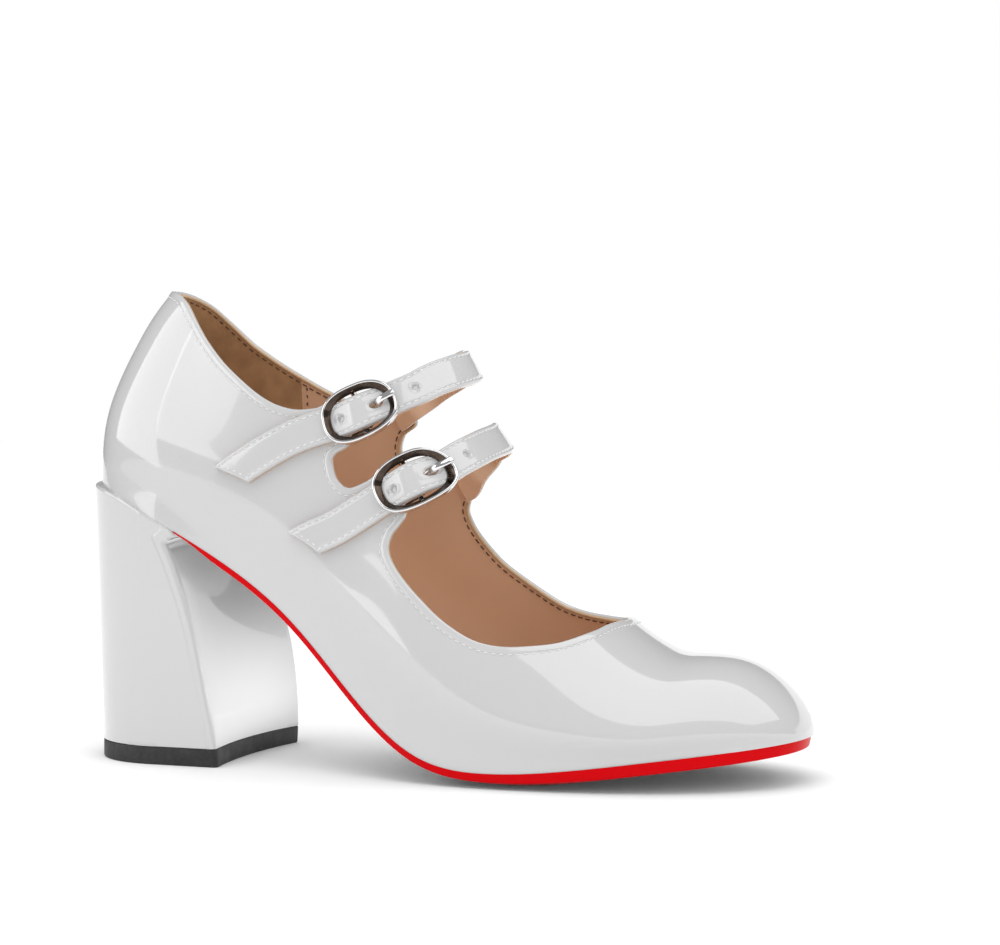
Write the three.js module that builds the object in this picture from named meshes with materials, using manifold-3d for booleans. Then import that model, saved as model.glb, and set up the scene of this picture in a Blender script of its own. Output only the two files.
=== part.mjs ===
// Mary jane pump with two buckled straps and a block heel, the right shoe.
// Millimetres, +X to the toe, +Y to the medial side, +Z up, floor at z = 0.
import * as THREE from 'three';
import { mergeVertices } from 'three/addons/utils/BufferGeometryUtils.js';
import Module from 'manifold-3d';

// ---------------------------------------------------------------- driving dimensions
const SHOE = { back: 3, toe: 219 };               // stations of the last's two ends
const PLAN_BACK = { reach: 30, power: 2.25 };     // how the plan closes round the heel
const PLAN_TOE = { reach: 54, power: 2.25 };      // how the plan closes round the toe
const NOSE = { reach: 33, power: 1.73 };          // how the toe's height rounds down
const TOE_SWING = { offset: 2, from: 120 };       // the toe tip's offset to the medial side
const FEATHER_INSET = { share: 0.075, fade: 0.3 };  // how far the wall draws in at the feather
const LEAN_END = 75;                              // station where the back's lean has faded
const VAMP = { from: 120, length: 50 };           // where the wall's lines turn into the toe's
const WALL = 1.6;                                 // leather and lining together
const GAP = 0.3;                                  // between pieces that meet
const SOLE_RIM = { out: 0.3, undercut: 0.5, halfWidth: 36 };  // sole edge past the feather line
const SOLE_REAR = 37.8;                           // station where the sole meets the heel
const SOLE_TIP = { back: 1.3, from: 190 };        // how far the sole's tip draws back at the toe
const CROWN_END = 195;                            // station where the sole's crown starts to fade
const INSOLE = { inset: 3.1, lift: 0.2, thickness: 2.8 };
const HEEL = {
  rim: 0.9, halfWidth: 28.6, waist: 27, reach: 27,        // rim: past the feather line
  backTop: 1.2, backLow: 4.2, seatFront: 40,
  scoop: 2.6, scoopFrom: 0.4, scoopTop: 0.88,             // hollow of the breast
  lip: 4.6, lipFrom: 0.9,                                 // how the breast's top reaches forward
  turn: 4, turnHeight: 80,                                // how the medial edge stands forward
};
const TOP_LIFT = 5.2;
const STRAP = {
  width: 10, thickness: 2, chamfer: 0.45, lie: 0.4, hump: 2.3,
  slant: 0.68, slantFade: 14, trim: 0.6,                  // slant of the free end, cut at the other
  tuck: -4.1, tuckLead: 11, tuckLength: 9,                // how the sewn end dips under the ear
  freeFrom: 11, freeLead: 22, freeTo: 6, freeFade: 16,    // its free stretch, past bar and ear
};
const BUCKLE = { length: 21.2, width: 16.4, rim: 1.7, rimHeight: 2.4, level: 4.0, power: 2.5 };
const BAR = { radius: 0.9, level: -0.3, end: 2.9 };
const ELASTIC = { width: 8, thickness: 1, tail: 18, slot: 2.6, sink: 0.7, flatTo: 4.8, riseTo: 2.6 };
const PRONG = { radius: 0.6, hole: 5.1, tip: 10.8, slot: 1.2, slotStretch: 1.65 };
const HOLE = { radius: 1, ahead: 11.5, behind: 10.5 };

// Cross-sections of the last. feather: height of the upper's lower edge, ridge: height of
// the instep line, lateral and medial: half-widths, fullness: power of the section's curve.
const SECTIONS = [
  { station: -6, feather: 83.0, ridge: 172, lateral: 27.4, medial: 27.4, fullness: 1.55 },
  { station: 14, feather: 78.8, ridge: 174, lateral: 29.4, medial: 29.2, fullness: 1.45 },
  { station: 32, feather: 71.0, ridge: 173, lateral: 30.8, medial: 30.2, fullness: 1.45 },
  { station: 52, feather: 60.4, ridge: 168, lateral: 31.8, medial: 31.0, fullness: 1.6 },
  { station: 77, feather: 42.4, ridge: 157, lateral: 33.6, medial: 32.2, fullness: 1.8 },
  { station: 97, feather: 22.0, ridge: 141, lateral: 36.5, medial: 34.5, fullness: 1.85 },
  { station: 115, feather: 8.5, ridge: 119, lateral: 40.5, medial: 37.5, fullness: 1.9 },
  { station: 137, feather: 4.4, ridge: 75, lateral: 43.0, medial: 39.5, fullness: 2.1 },
  { station: 159, feather: 5.9, ridge: 49.4, lateral: 42.5, medial: 39.5, fullness: 2.2 },
  { station: 180, feather: 8.6, ridge: 35.6, lateral: 40.0, medial: 37.5, fullness: 2.25 },
  { station: 200, feather: 11.0, ridge: 37.0, lateral: 37.5, medial: 35.0, fullness: 2.3 },
  { station: 225, feather: 13.9, ridge: 36.5, lateral: 35.0, medial: 33.0, fullness: 2.3 },
];

// How far the back of the shoe leans towards the toe, by height.
const BACK_LEAN = [
  { height: 60, lean: 0 }, { height: 82, lean: 0 }, { height: 92, lean: 0.3 },
  { height: 102, lean: 2.0 }, { height: 112.5, lean: 5.8 }, { height: 122.5, lean: 10.8 },
  { height: 132, lean: 16.6 }, { height: 138.5, lean: 21.9 }, { height: 150, lean: 31.4 },
  { height: 175, lean: 52 },
];

// Outsole. edge: thickness seen at its edge, crown: how far its middle bulges below that.
// Where the middle would pass the floor it is cut to the flat spot that the shoe stands on.
const SOLE = [
  { station: 26, edge: 1.7, crown: 0.2 }, { station: 52, edge: 1.8, crown: 0.3 },
  { station: 77, edge: 2.1, crown: 0.4 }, { station: 97, edge: 2.3, crown: 0.9 },
  { station: 115, edge: 2.0, crown: 1.9 }, { station: 137, edge: 2.2, crown: 3.0 },
  { station: 150, edge: 2.5, crown: 3.1 }, { station: 165, edge: 2.9, crown: 2.4 },
  { station: 185, edge: 3.1, crown: 1.5 }, { station: 222, edge: 3.0, crown: 0.4 },
];

// Top edge of the upper on each side, from the back of the heel to the middle of the throat.
// foot: station where the wall's rising line starts, station and rise: where it ends
// (rise 0 at the feather, 1 at the instep line), bend: how late that line leans forward.
const TOP_EDGE = {
  lateral: [
    { foot: 3, station: 3, rise: 0.387, bend: 1 },              // back of the collar
    { foot: 8, station: 9, rise: 0.382, bend: 1 },
    { foot: 14, station: 19, rise: 0.366, bend: 1 },
    { foot: 21, station: 30.5, rise: 0.345, bend: 1 },
    { foot: 28, station: 41.4, rise: 0.321, bend: 1 },
    { foot: 35, station: 53, rise: 0.299, bend: 1 },
    { foot: 42, station: 64.9, rise: 0.287, bend: 1 },
    { foot: 48, station: 74, rise: 0.303, bend: 1 },
    { foot: 53, station: 81.7, rise: 0.343, bend: 1.05 },       // first ear
    { foot: 56.5, station: 88, rise: 0.393, bend: 1.2 },
    { foot: 59, station: 93, rise: 0.354, bend: 1.35 },
    { foot: 61.5, station: 88.5, rise: 0.301, bend: 1.35 },     // cut-out between the ears
    { foot: 64, station: 87.8, rise: 0.283, bend: 1.25 },
    { foot: 67.5, station: 89.6, rise: 0.266, bend: 1.15 },
    { foot: 71.5, station: 93.4, rise: 0.272, bend: 1.1 },
    { foot: 75.5, station: 98.5, rise: 0.311, bend: 1.05 },     // second ear
    { foot: 79, station: 104.7, rise: 0.366, bend: 1.15 },
    { foot: 82.5, station: 111.1, rise: 0.341, bend: 1.35 },
    { foot: 86.5, station: 107.3, rise: 0.273, bend: 1.35 },    // throat
    { foot: 90.5, station: 106.7, rise: 0.246, bend: 1.3 },
    { foot: 96.5, station: 109.7, rise: 0.232, bend: 1.2 },
    { foot: 105.5, station: 116.3, rise: 0.23, bend: 1.15 },
    { foot: 118, station: 125.6, rise: 0.243, bend: 1.15 },
    { foot: 132, station: 135.8, rise: 0.284, bend: 1.2 },
    { foot: 148.5, station: 146.5, rise: 0.37, bend: 1.4 },
    { foot: 169, station: 156.2, rise: 0.495, bend: 1.8 },
    { foot: 190, station: 162, rise: 0.665, bend: 2.1 },
    { foot: 207, station: 164.4, rise: 0.835, bend: 2.2 },
    { foot: 219, station: 165.7, rise: 1, bend: 2.2 },          // middle of the throat
  ],
  medial: [
    { foot: 3, station: 3, rise: 0.387, bend: 1 },
    { foot: 8, station: 9, rise: 0.364, bend: 1 },
    { foot: 14, station: 19, rise: 0.331, bend: 1 },
    { foot: 21, station: 30.5, rise: 0.309, bend: 1 },
    { foot: 28, station: 41.4, rise: 0.3, bend: 1 },
    { foot: 35, station: 53, rise: 0.295, bend: 1 },
    { foot: 42, station: 62.6, rise: 0.294, bend: 1 },
    { foot: 47, station: 71, rise: 0.303, bend: 1 },
    { foot: 51, station: 78.5, rise: 0.337, bend: 1.05 },       // first ear
    { foot: 54.5, station: 85.8, rise: 0.394, bend: 1.2 },
    { foot: 58, station: 92.4, rise: 0.38, bend: 1.35 },
    { foot: 61, station: 87.9, rise: 0.325, bend: 1.35 },       // cut-out between the ears
    { foot: 64, station: 86.5, rise: 0.286, bend: 1.25 },
    { foot: 67.5, station: 89, rise: 0.27, bend: 1.15 },
    { foot: 71.5, station: 93.5, rise: 0.286, bend: 1.1 },
    { foot: 75.5, station: 98.5, rise: 0.324, bend: 1.05 },     // second ear
    { foot: 79, station: 104.3, rise: 0.372, bend: 1.15 },
    { foot: 82.5, station: 110.9, rise: 0.368, bend: 1.35 },
    { foot: 86.5, station: 108.3, rise: 0.325, bend: 1.35 },    // throat
    { foot: 91, station: 107.6, rise: 0.294, bend: 1.3 },
    { foot: 97.5, station: 111, rise: 0.274, bend: 1.2 },
    { foot: 106.5, station: 118.5, rise: 0.272, bend: 1.15 },
    { foot: 118, station: 128.5, rise: 0.306, bend: 1.15 },
    { foot: 132, station: 138.5, rise: 0.36, bend: 1.2 },
    { foot: 148.5, station: 148.5, rise: 0.446, bend: 1.4 },
    { foot: 169, station: 157.2, rise: 0.56, bend: 1.8 },
    { foot: 190, station: 162.4, rise: 0.71, bend: 2.1 },
    { foot: 207, station: 164.9, rise: 0.86, bend: 2.2 },
    { foot: 219, station: 165.7, rise: 1, bend: 2.2 },
  ],
};

// Middle line of each strap over the last, from its free lateral end to its sewn medial end.
// sweep: -1 at the lateral feather, 0 at the instep line, 1 at the medial feather.
// bar: the row that lies over the buckle's bar, ear: the row where the medial ear begins.
// sag: how far the free stretch lies inside the last, tilt: how its rear edge leans inwards.
const STRAPS = [
  {
    name: 'upper', bar: 3, ear: 11, sag: 0, tilt: 0,
    line: [
      { station: 57.8, sweep: -0.863 }, { station: 71, sweep: -0.774 },
      { station: 86.8, sweep: -0.659 }, { station: 95.8, sweep: -0.582 },
      { station: 103.6, sweep: -0.492 }, { station: 110.6, sweep: -0.376 },
      { station: 115.8, sweep: -0.2 }, { station: 117.3, sweep: 0 },
      { station: 114.6, sweep: 0.19 }, { station: 107.3, sweep: 0.375 },
      { station: 98, sweep: 0.51 }, { station: 89, sweep: 0.616 },
      { station: 86, sweep: 0.645 },
    ],
  },
  {
    name: 'lower', bar: 3, ear: 11, sag: 1.6, tilt: 0.18,
    line: [
      { station: 81.6, sweep: -0.87 }, { station: 92.4, sweep: -0.791 },
      { station: 104, sweep: -0.687 }, { station: 113, sweep: -0.59 },
      { station: 119.8, sweep: -0.475 }, { station: 124.6, sweep: -0.311 },
      { station: 126.9, sweep: -0.13 }, { station: 126.9, sweep: 0.05 },
      { station: 124.3, sweep: 0.24 }, { station: 120.7, sweep: 0.38 },
      { station: 114.8, sweep: 0.51 }, { station: 109, sweep: 0.627 },
      { station: 106, sweep: 0.66 },
    ],
  },
];

// ---------------------------------------------------------------- curves through tables
const clamp = (value, low, high) => Math.min(Math.max(value, low), high);
const lerp = (from, to, share) => from + (to - from) * share;

function smooth(share) {
  const t = clamp(share, 0, 1);
  return t * t * t * (t * (6 * t - 15) + 10);
}

// Natural cubic spline through two columns of a table.
function spline(rows, inKey, outKey) {
  const x = rows.map((row) => row[inKey]);
  const y = rows.map((row) => row[outKey]);
  const count = x.length;
  const bend = new Array(count).fill(0);
  const carry = new Array(count).fill(0);
  for (let i = 1; i < count - 1; i += 1) {
    const ratio = (x[i] - x[i - 1]) / (x[i + 1] - x[i - 1]);
    const pivot = ratio * bend[i - 1] + 2;
    const after = (y[i + 1] - y[i]) / (x[i + 1] - x[i]);
    const before = (y[i] - y[i - 1]) / (x[i] - x[i - 1]);
    bend[i] = (ratio - 1) / pivot;
    carry[i] = (6 * (after - before) / (x[i + 1] - x[i - 1]) - ratio * carry[i - 1]) / pivot;
  }
  for (let i = count - 2; i >= 0; i -= 1) bend[i] = bend[i] * bend[i + 1] + carry[i];
  return (at) => {
    let k = 0;
    while (k < count - 2 && at > x[k + 1]) k += 1;
    const span = x[k + 1] - x[k];
    const a = (x[k + 1] - at) / span;
    const b = (at - x[k]) / span;
    const curve = (a * a * a - a) * bend[k] + (b * b * b - b) * bend[k + 1];
    return a * y[k] + b * y[k + 1] + curve * span * span / 6;
  };
}

// Catmull-Rom value between evenly counted entries of a list; at runs from 0 to length - 1.
function between(values, at) {
  const last = values.length - 1;
  const k = clamp(Math.floor(at), 0, last - 1);
  const f = at - k;
  const b = values[k];
  const c = values[k + 1];
  const a = k > 0 ? values[k - 1] : 2 * b - c;
  const d = k + 2 <= last ? values[k + 2] : 2 * c - b;
  return b + 0.5 * f * (c - a + f * (2 * a - 5 * b + 4 * c - d + f * (3 * (b - c) + d - a)));
}

// ---------------------------------------------------------------- the last
const feather = spline(SECTIONS, 'station', 'feather');
const ridge = spline(SECTIONS, 'station', 'ridge');
const lateralWidth = spline(SECTIONS, 'station', 'lateral');
const medialWidth = spline(SECTIONS, 'station', 'medial');
const fullness = spline(SECTIONS, 'station', 'fullness');
const backLean = spline(BACK_LEAN, 'height', 'lean');
const soleEdge = spline(SOLE, 'station', 'edge');
const soleCrown = spline(SOLE, 'station', 'crown');

// Superellipse quadrant: 1 at share 0, 0 at share 1.
function quadrant(share, power) {
  return (1 - clamp(share, 0, 1) ** power) ** (1 / power);
}

function halfWidth(station, side) {
  const width = side < 0 ? lateralWidth(station) : medialWidth(station);
  const toe = quadrant((station - SHOE.toe + PLAN_TOE.reach) / PLAN_TOE.reach, PLAN_TOE.power);
  const back = quadrant((SHOE.back + PLAN_BACK.reach - station) / PLAN_BACK.reach, PLAN_BACK.power);
  return width * toe * back;
}

// Sideways offset of the last's middle line, which bends to the medial side at the toe.
function toeSwing(station) {
  return TOE_SWING.offset * smooth((station - TOE_SWING.from) / (SHOE.toe - TOE_SWING.from));
}

// Point on the outside of the last; height runs 0 at the feather to 1 at the instep line.
function lastPoint(station, height, side) {
  const low = feather(station);
  const nose = quadrant((station - SHOE.toe + NOSE.reach) / NOSE.reach, NOSE.power);
  const z = low + (ridge(station) - low) * nose * height;
  const inset = 1 - FEATHER_INSET.share * (1 - smooth(height / FEATHER_INSET.fade));
  const y = side * halfWidth(station, side) * quadrant(height, fullness(station)) * inset;
  const lean = backLean(z) * (1 - smooth(station / LEAN_END));
  return new THREE.Vector3(station + lean, y + toeSwing(station), z);
}

const heightOfRise = (rise) => 1 - (1 - rise) ** 2;

// The same surface by sweep, which runs from the lateral to the medial feather.
function sweepPoint(station, sweep) {
  return lastPoint(station, heightOfRise(1 - Math.abs(sweep)), sweep < 0 ? -1 : 1);
}

function sweepSlopes(station, sweep) {
  const along = sweepPoint(station + 0.5, sweep).sub(sweepPoint(station - 0.5, sweep));
  const across = sweepPoint(station, sweep + 0.01).sub(sweepPoint(station, sweep - 0.01));
  return { along, across: across.divideScalar(0.02) };
}

function sweepNormal(station, sweep) {
  const { along, across } = sweepSlopes(station, sweep);
  return along.cross(across).normalize();
}

// ---------------------------------------------------------------- meshing
const wasm = await Module();
wasm.setup();

function geometryOf(points, triangles) {
  const geometry = new THREE.BufferGeometry();
  const position = new Float32Array(points.flatMap((point) => point.toArray()));
  geometry.setAttribute('position', new THREE.BufferAttribute(position, 3));
  geometry.setIndex(triangles.flat());
  return tidied(geometry);
}

// Merges equal vertices and drops the triangles that this leaves without area.
function tidied(geometry) {
  geometry.deleteAttribute('normal');
  geometry.deleteAttribute('uv');
  const merged = mergeVertices(geometry, 1e-4);
  const index = merged.index.array;
  const kept = [];
  for (let i = 0; i < index.length; i += 3) {
    const [a, b, c] = [index[i], index[i + 1], index[i + 2]];
    if (a !== b && b !== c && c !== a) kept.push(a, b, c);
  }
  merged.setIndex(kept);
  return merged;
}

// Two triangles for each cell of a grid of vertex numbers; a wrapped grid closes on itself.
function gridTriangles(number, rows, columns, wrapRows, wrapColumns) {
  const triangles = [];
  for (let i = 0; i < (wrapRows ? rows : rows - 1); i += 1) {
    for (let j = 0; j < (wrapColumns ? columns : columns - 1); j += 1) {
      const k = (i + 1) % rows;
      const l = (j + 1) % columns;
      triangles.push([number(i, j), number(k, j), number(k, l)]);
      triangles.push([number(i, j), number(k, l), number(i, l)]);
    }
  }
  return triangles;
}

// Closed body from equal rings of points, the first and last ring closed by their centres.
function loft(rings) {
  const size = rings[0].length;
  const points = rings.flat();
  const triangles = gridTriangles((i, j) => i * size + j, rings.length, size, false, true);
  [0, rings.length - 1].forEach((end) => {
    const middle = new THREE.Vector3();
    rings[end].forEach((point) => middle.addScaledVector(point, 1 / size));
    points.push(middle);
    for (let j = 0; j < size; j += 1) {
      const pair = [end * size + j, end * size + (j + 1) % size];
      triangles.push(end === 0 ? [pair[0], pair[1], points.length - 1]
        : [pair[1], pair[0], points.length - 1]);
    }
  });
  return geometryOf(points, triangles);
}

// Slab whose top and bottom are grids: place(u, v, level) has u from the back to the front,
// v from -1 on the lateral to 1 on the medial side, and level from 0 below to 1 above.
function slab(place, lengthwise, crosswise, levels) {
  const points = [];
  const triangles = [];
  const turns = Array.from({ length: lengthwise + 1 }, (_, i) => Math.PI * i / lengthwise);
  const us = turns.map((turn) => (1 - Math.cos(turn)) / 2);
  const vs = Array.from({ length: crosswise + 1 }, (_, j) => 2 * j / crosswise - 1);
  [0, 1].forEach((level) => {
    const first = points.length;
    us.forEach((u) => vs.forEach((v) => points.push(place(u, v, level))));
    const number = level === 0 ? (i, j) => first + i * vs.length + (vs.length - 1 - j)
      : (i, j) => first + i * vs.length + j;
    triangles.push(...gridTriangles(number, us.length, vs.length, false, false));
  });
  const edge = [
    ...us.map((u) => [u, -1]), ...vs.slice(1).map((v) => [1, v]),
    ...us.slice(0, -1).reverse().map((u) => [u, 1]), ...vs.slice(1, -1).reverse().map((v) => [0, v]),
  ];
  const first = points.length;
  levels.forEach((level) => edge.forEach(([u, v]) => points.push(place(u, v, level))));
  const number = (i, j) => first + (levels.length - 1 - i) * edge.length + j;
  triangles.push(...gridTriangles(number, levels.length, edge.length, false, true));
  return geometryOf(points, triangles);
}

// Tube of an oval section along a list of points; side gives the section's first axis.
function tube(path, side, halfAcross, halfAlong, sides, closed) {
  const rings = path.map((point, i) => {
    const before = path[closed ? (i + path.length - 1) % path.length : Math.max(i - 1, 0)];
    const after = path[closed ? (i + 1) % path.length : Math.min(i + 1, path.length - 1)];
    const forward = after.clone().sub(before).normalize();
    const across = side.clone().addScaledVector(forward, -side.dot(forward)).normalize();
    const up = forward.clone().cross(across);
    return Array.from({ length: sides }, (_, k) => {
      const angle = 2 * Math.PI * (k + 0.5) / sides;
      return point.clone().addScaledVector(across, halfAcross * Math.cos(angle))
        .addScaledVector(up, halfAlong * Math.sin(angle));
    });
  });
  if (!closed) return loft(rings.reverse());
  const number = (i, j) => i * sides + j;
  const triangles = gridTriangles(number, rings.length, sides, true, true);
  return geometryOf(rings.flat(), triangles.map(([a, b, c]) => [a, c, b]));
}

function solidOf(geometry) {
  const merged = tidied(geometry.clone());
  const vertProperties = new Float32Array(merged.attributes.position.array);
  const triVerts = new Uint32Array(merged.index.array);
  return new wasm.Manifold(new wasm.Mesh({ numProp: 3, vertProperties, triVerts }));
}

function geometryFromSolid(solid) {
  const mesh = solid.getMesh();
  const geometry = new THREE.BufferGeometry();
  geometry.setAttribute('position', new THREE.BufferAttribute(new Float32Array(mesh.vertProperties), 3));
  geometry.setIndex(Array.from(mesh.triVerts));
  return geometry;
}

// Moves every vertex of a geometry by a function from point to point.
function reshaped(geometry, move) {
  const position = geometry.attributes.position;
  for (let i = 0; i < position.count; i += 1) {
    const point = move(new THREE.Vector3().fromBufferAttribute(position, i));
    position.setXYZ(i, point.x, point.y, point.z);
  }
  return geometry;
}

// ---------------------------------------------------------------- upper
const COLUMNS_PER_ROW = 2;
const WALL_ROWS = 9;

// Foot stations are spread by angle, so that columns stay evenly spaced round both ends.
const SHOE_LENGTH = SHOE.toe - SHOE.back;
const footAngle = (foot) => Math.acos(clamp(1 - 2 * (foot - SHOE.back) / SHOE_LENGTH, -1, 1));
const footStation = (angle) => SHOE.back + SHOE_LENGTH * (1 - Math.cos(angle)) / 2;

// Rising line of the wall. In the waist it climbs evenly in rise while it leans forward;
// at the toe it follows a straight line in plan, so that columns fan out over the vamp.
function wallColumn(rows, side, at) {
  const column = (key) => between(rows.map((row) => row[key]), at);
  const angle = between(rows.map((row) => footAngle(row.foot)), at);
  const foot = footStation(clamp(angle, 0, Math.PI));
  const station = column('station');
  const rise = Math.min(column('rise'), 1);
  const bend = column('bend');
  const topHeight = heightOfRise(rise);
  const footY = halfWidth(foot, side);
  const topY = halfWidth(station, side) * quadrant(topHeight, fullness(station));
  const vamp = smooth((foot - VAMP.from) / VAMP.length);
  return Array.from({ length: WALL_ROWS + 1 }, (_, i) => {
    const share = i / WALL_ROWS;
    const progress = share ** bend;
    const x = lerp(foot, station, progress);
    const wide = halfWidth(x, side);
    const ratio = wide > 1e-6 ? lerp(footY, topY, progress) / wide : 0;
    const height = lerp(heightOfRise(rise * share), quadrant(ratio, fullness(x)), vamp);
    return lastPoint(x, height, side);
  });
}

function upperGeometry() {
  const steps = (TOP_EDGE.lateral.length - 1) * COLUMNS_PER_ROW;
  const lateral = [];
  const medial = [];
  for (let i = 0; i <= steps; i += 1) {
    lateral.push(wallColumn(TOP_EDGE.lateral, -1, i / COLUMNS_PER_ROW));
    medial.push(wallColumn(TOP_EDGE.medial, 1, i / COLUMNS_PER_ROW));
  }
  const outer = [...lateral, ...medial.slice(1, -1).reverse()];
  const count = outer.length;
  const inner = outer.map((column, j) => column.map((point, i) => {
    const around = outer[(j + 1) % count][i].clone().sub(outer[(j + count - 1) % count][i]);
    const upward = column[Math.min(i + 1, WALL_ROWS)].clone().sub(column[Math.max(i - 1, 0)]);
    const normal = around.cross(upward).normalize();
    return point.clone().addScaledVector(normal, -WALL);
  }));
  const loops = outer.map((column, j) => [...column, ...inner[j].slice().reverse()]);
  const size = loops[0].length;
  const triangles = gridTriangles((i, j) => i * size + j, count, size, true, true);
  return geometryOf(loops.flat(), triangles);
}

// ---------------------------------------------------------------- sole, insole, heel
// Plan point inside the feather outline: across runs from -1 on the lateral to 1 on the medial
// edge, and grow moves the whole outline outwards.
function outlinePoint(station, across, grow) {
  const side = across < 0 ? -1 : 1;
  const middle = (SHOE.back + SHOE.toe) / 2;
  const stretch = 1 + grow / (middle - SHOE.back);
  const edge = lastPoint(clamp(station, SHOE.back, SHOE.toe), 0, side);
  const swing = toeSwing(station);
  const wide = (edge.y - swing) * (1 + grow / SOLE_RIM.halfWidth) * Math.abs(across);
  return { x: middle + (station - middle) * stretch, y: swing + wide };
}

function outsoleGeometry() {
  const place = (u, v, level) => {
    const grow = SOLE_RIM.out - SOLE_RIM.undercut * (1 - level);
    const { x: plain, y } = outlinePoint(lerp(SOLE_REAR, SHOE.toe, u), v, grow);
    const x = plain - SOLE_TIP.back * smooth((plain - SOLE_TIP.from) / (SHOE.toe - SOLE_TIP.from));
    const top = feather(x) - GAP;
    const crown = soleCrown(x) * (1 - smooth((x - CROWN_END) / (SHOE.toe - CROWN_END)));
    const low = Math.max(top - soleEdge(x) - crown * (1 - Math.abs(v) ** 3), 0);
    return new THREE.Vector3(x, y, lerp(low, top, level));
  };
  return slab(place, 36, 6, [0, 1]);
}

function insoleGeometry() {
  const place = (u, v, level) => {
    const { x, y } = outlinePoint(lerp(SHOE.back, SHOE.toe, u), v, -INSOLE.inset);
    return new THREE.Vector3(x, y, feather(x) + INSOLE.lift + INSOLE.thickness * level);
  };
  return slab(place, 38, 2, [0, 1]);
}

// Front edge of the heel, by height: the breast sweeps forward on its way down.
const BREAST = [
  { height: 0, station: 51.2 }, { height: 5.8, station: 50.6 }, { height: 16.4, station: 48.8 },
  { height: 28, station: 46.3 }, { height: 42, station: 43 }, { height: 52, station: 39.7 },
  { height: 62.6, station: 35.4 }, { height: 72, station: 30.6 },
];
const breast = spline(BREAST, 'height', 'station');

const HEEL_PASSES = 12;
const HEEL_LEVELS = [0, 0.17, 0.34, 0.5, 0.66, 0.8, 0.9, 0.95, 1];

// Plan of the heel at one height: a D with a round back and a hollow front.
function heelPoint(u, v, z, level) {
  const back = lerp(HEEL.backLow, HEEL.backTop, level);
  const scoopFade = 1 - smooth((level - HEEL.scoopTop) / (1 - HEEL.scoopTop));
  const scoop = HEEL.scoop * (1 - v * v) * scoopFade;
  const lip = HEEL.lip * smooth((level - HEEL.lipFrom) / (1 - HEEL.lipFrom));
  const turn = HEEL.turn * Math.sin(Math.PI * clamp(z / HEEL.turnHeight, 0, 1)) * (v + 1) / 2;
  const hollow = scoop * smooth((u - HEEL.scoopFrom) / (1 - HEEL.scoopFrom));
  const front = breast(z) + lip + turn * (1 - smooth(level) ** 4) - hollow;
  const x = lerp(back, front, u);
  const side = v < 0 ? -1 : 1;
  const seatX = clamp(x, SHOE.back, HEEL.seatFront);
  const seat = Math.abs(outlinePoint(seatX, side, 0).y) + HEEL.rim;
  const round = quadrant((back + HEEL.reach - x) / HEEL.reach, PLAN_BACK.power);
  const wide = lerp(HEEL.halfWidth * round, Math.max(seat, HEEL.waist * round), smooth(level));
  return new THREE.Vector3(x, v * Math.min(wide, HEEL.halfWidth * round), z);
}

function heelGeometry() {
  const low = TOP_LIFT + GAP;
  const place = (u, v, level) => {
    let z = low;
    // each pass brings the height nearer to the seat's own height above that station
    for (let pass = 0; pass < HEEL_PASSES; pass += 1) {
      const { x } = heelPoint(u, v, z, level);
      z = lerp(low, feather(x) - GAP, level);
    }
    return heelPoint(u, v, z, level);
  };
  return slab(place, 18, 4, HEEL_LEVELS);
}

function topLiftGeometry() {
  const place = (u, v, level) => heelPoint(u, v, TOP_LIFT * level, 0);
  return slab(place, 18, 4, [0, 1]);
}

// ---------------------------------------------------------------- straps and buckles
// A strap's own space over the last: along its middle line, across it, and out from the last.
// The line is stored at even steps of length.
function strapSpace(strap) {
  const stations = strap.line.map((row) => row.station);
  const sweeps = strap.line.map((row) => row.sweep);
  const fine = 400;
  const raw = Array.from({ length: fine + 1 }, (_, i) => {
    const at = i * (strap.line.length - 1) / fine;
    return { station: between(stations, at), sweep: between(sweeps, at), run: 0 };
  });
  for (let i = 1; i <= fine; i += 1) {
    const step = sweepPoint(raw[i].station, raw[i].sweep)
      .distanceTo(sweepPoint(raw[i - 1].station, raw[i - 1].sweep));
    raw[i].run = raw[i - 1].run + step;
  }
  const length = raw[fine].run;
  const lookUp = (run) => {
    let k = 0;
    while (k < fine - 1 && raw[k + 1].run < run) k += 1;
    const share = (run - raw[k].run) / (raw[k + 1].run - raw[k].run);
    return {
      station: lerp(raw[k].station, raw[k + 1].station, share),
      sweep: lerp(raw[k].sweep, raw[k + 1].sweep, share),
    };
  };
  const runOfRow = (row) => raw[Math.round(row * fine / (strap.line.length - 1))].run;
  const place = (run, across, out) => {
    const here = lookUp(run);
    const next = lookUp(run + 0.5);
    const { along, across: round } = sweepSlopes(here.station, here.sweep);
    const normal = along.clone().cross(round).normalize();
    const forward = sweepPoint(next.station, next.sweep).sub(sweepPoint(here.station, here.sweep));
    const wide = normal.clone().cross(forward.normalize()).multiplyScalar(across);
    // the step over the surface that comes nearest to the sideways vector
    const aa = along.dot(along);
    const ab = along.dot(round);
    const bb = round.dot(round);
    const det = aa * bb - ab * ab;
    const station = here.station + (bb * along.dot(wide) - ab * round.dot(wide)) / det;
    const sweep = here.sweep + (aa * round.dot(wide) - ab * along.dot(wide)) / det;
    return sweepPoint(station, sweep).addScaledVector(sweepNormal(station, sweep), out);
  };
  return {
    length, place, bar: runOfRow(strap.bar), ear: runOfRow(strap.ear), sag: strap.sag, tilt: strap.tilt,
  };
}

// 1 along the strap's free stretch, 0 at the buckle and at the ear.
function freeShare(space, run) {
  const start = smooth((run - space.bar - STRAP.freeFrom) / STRAP.freeLead);
  const end = smooth((run - space.ear + STRAP.freeTo + STRAP.freeFade) / STRAP.freeFade);
  return start * (1 - end);
}

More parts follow.
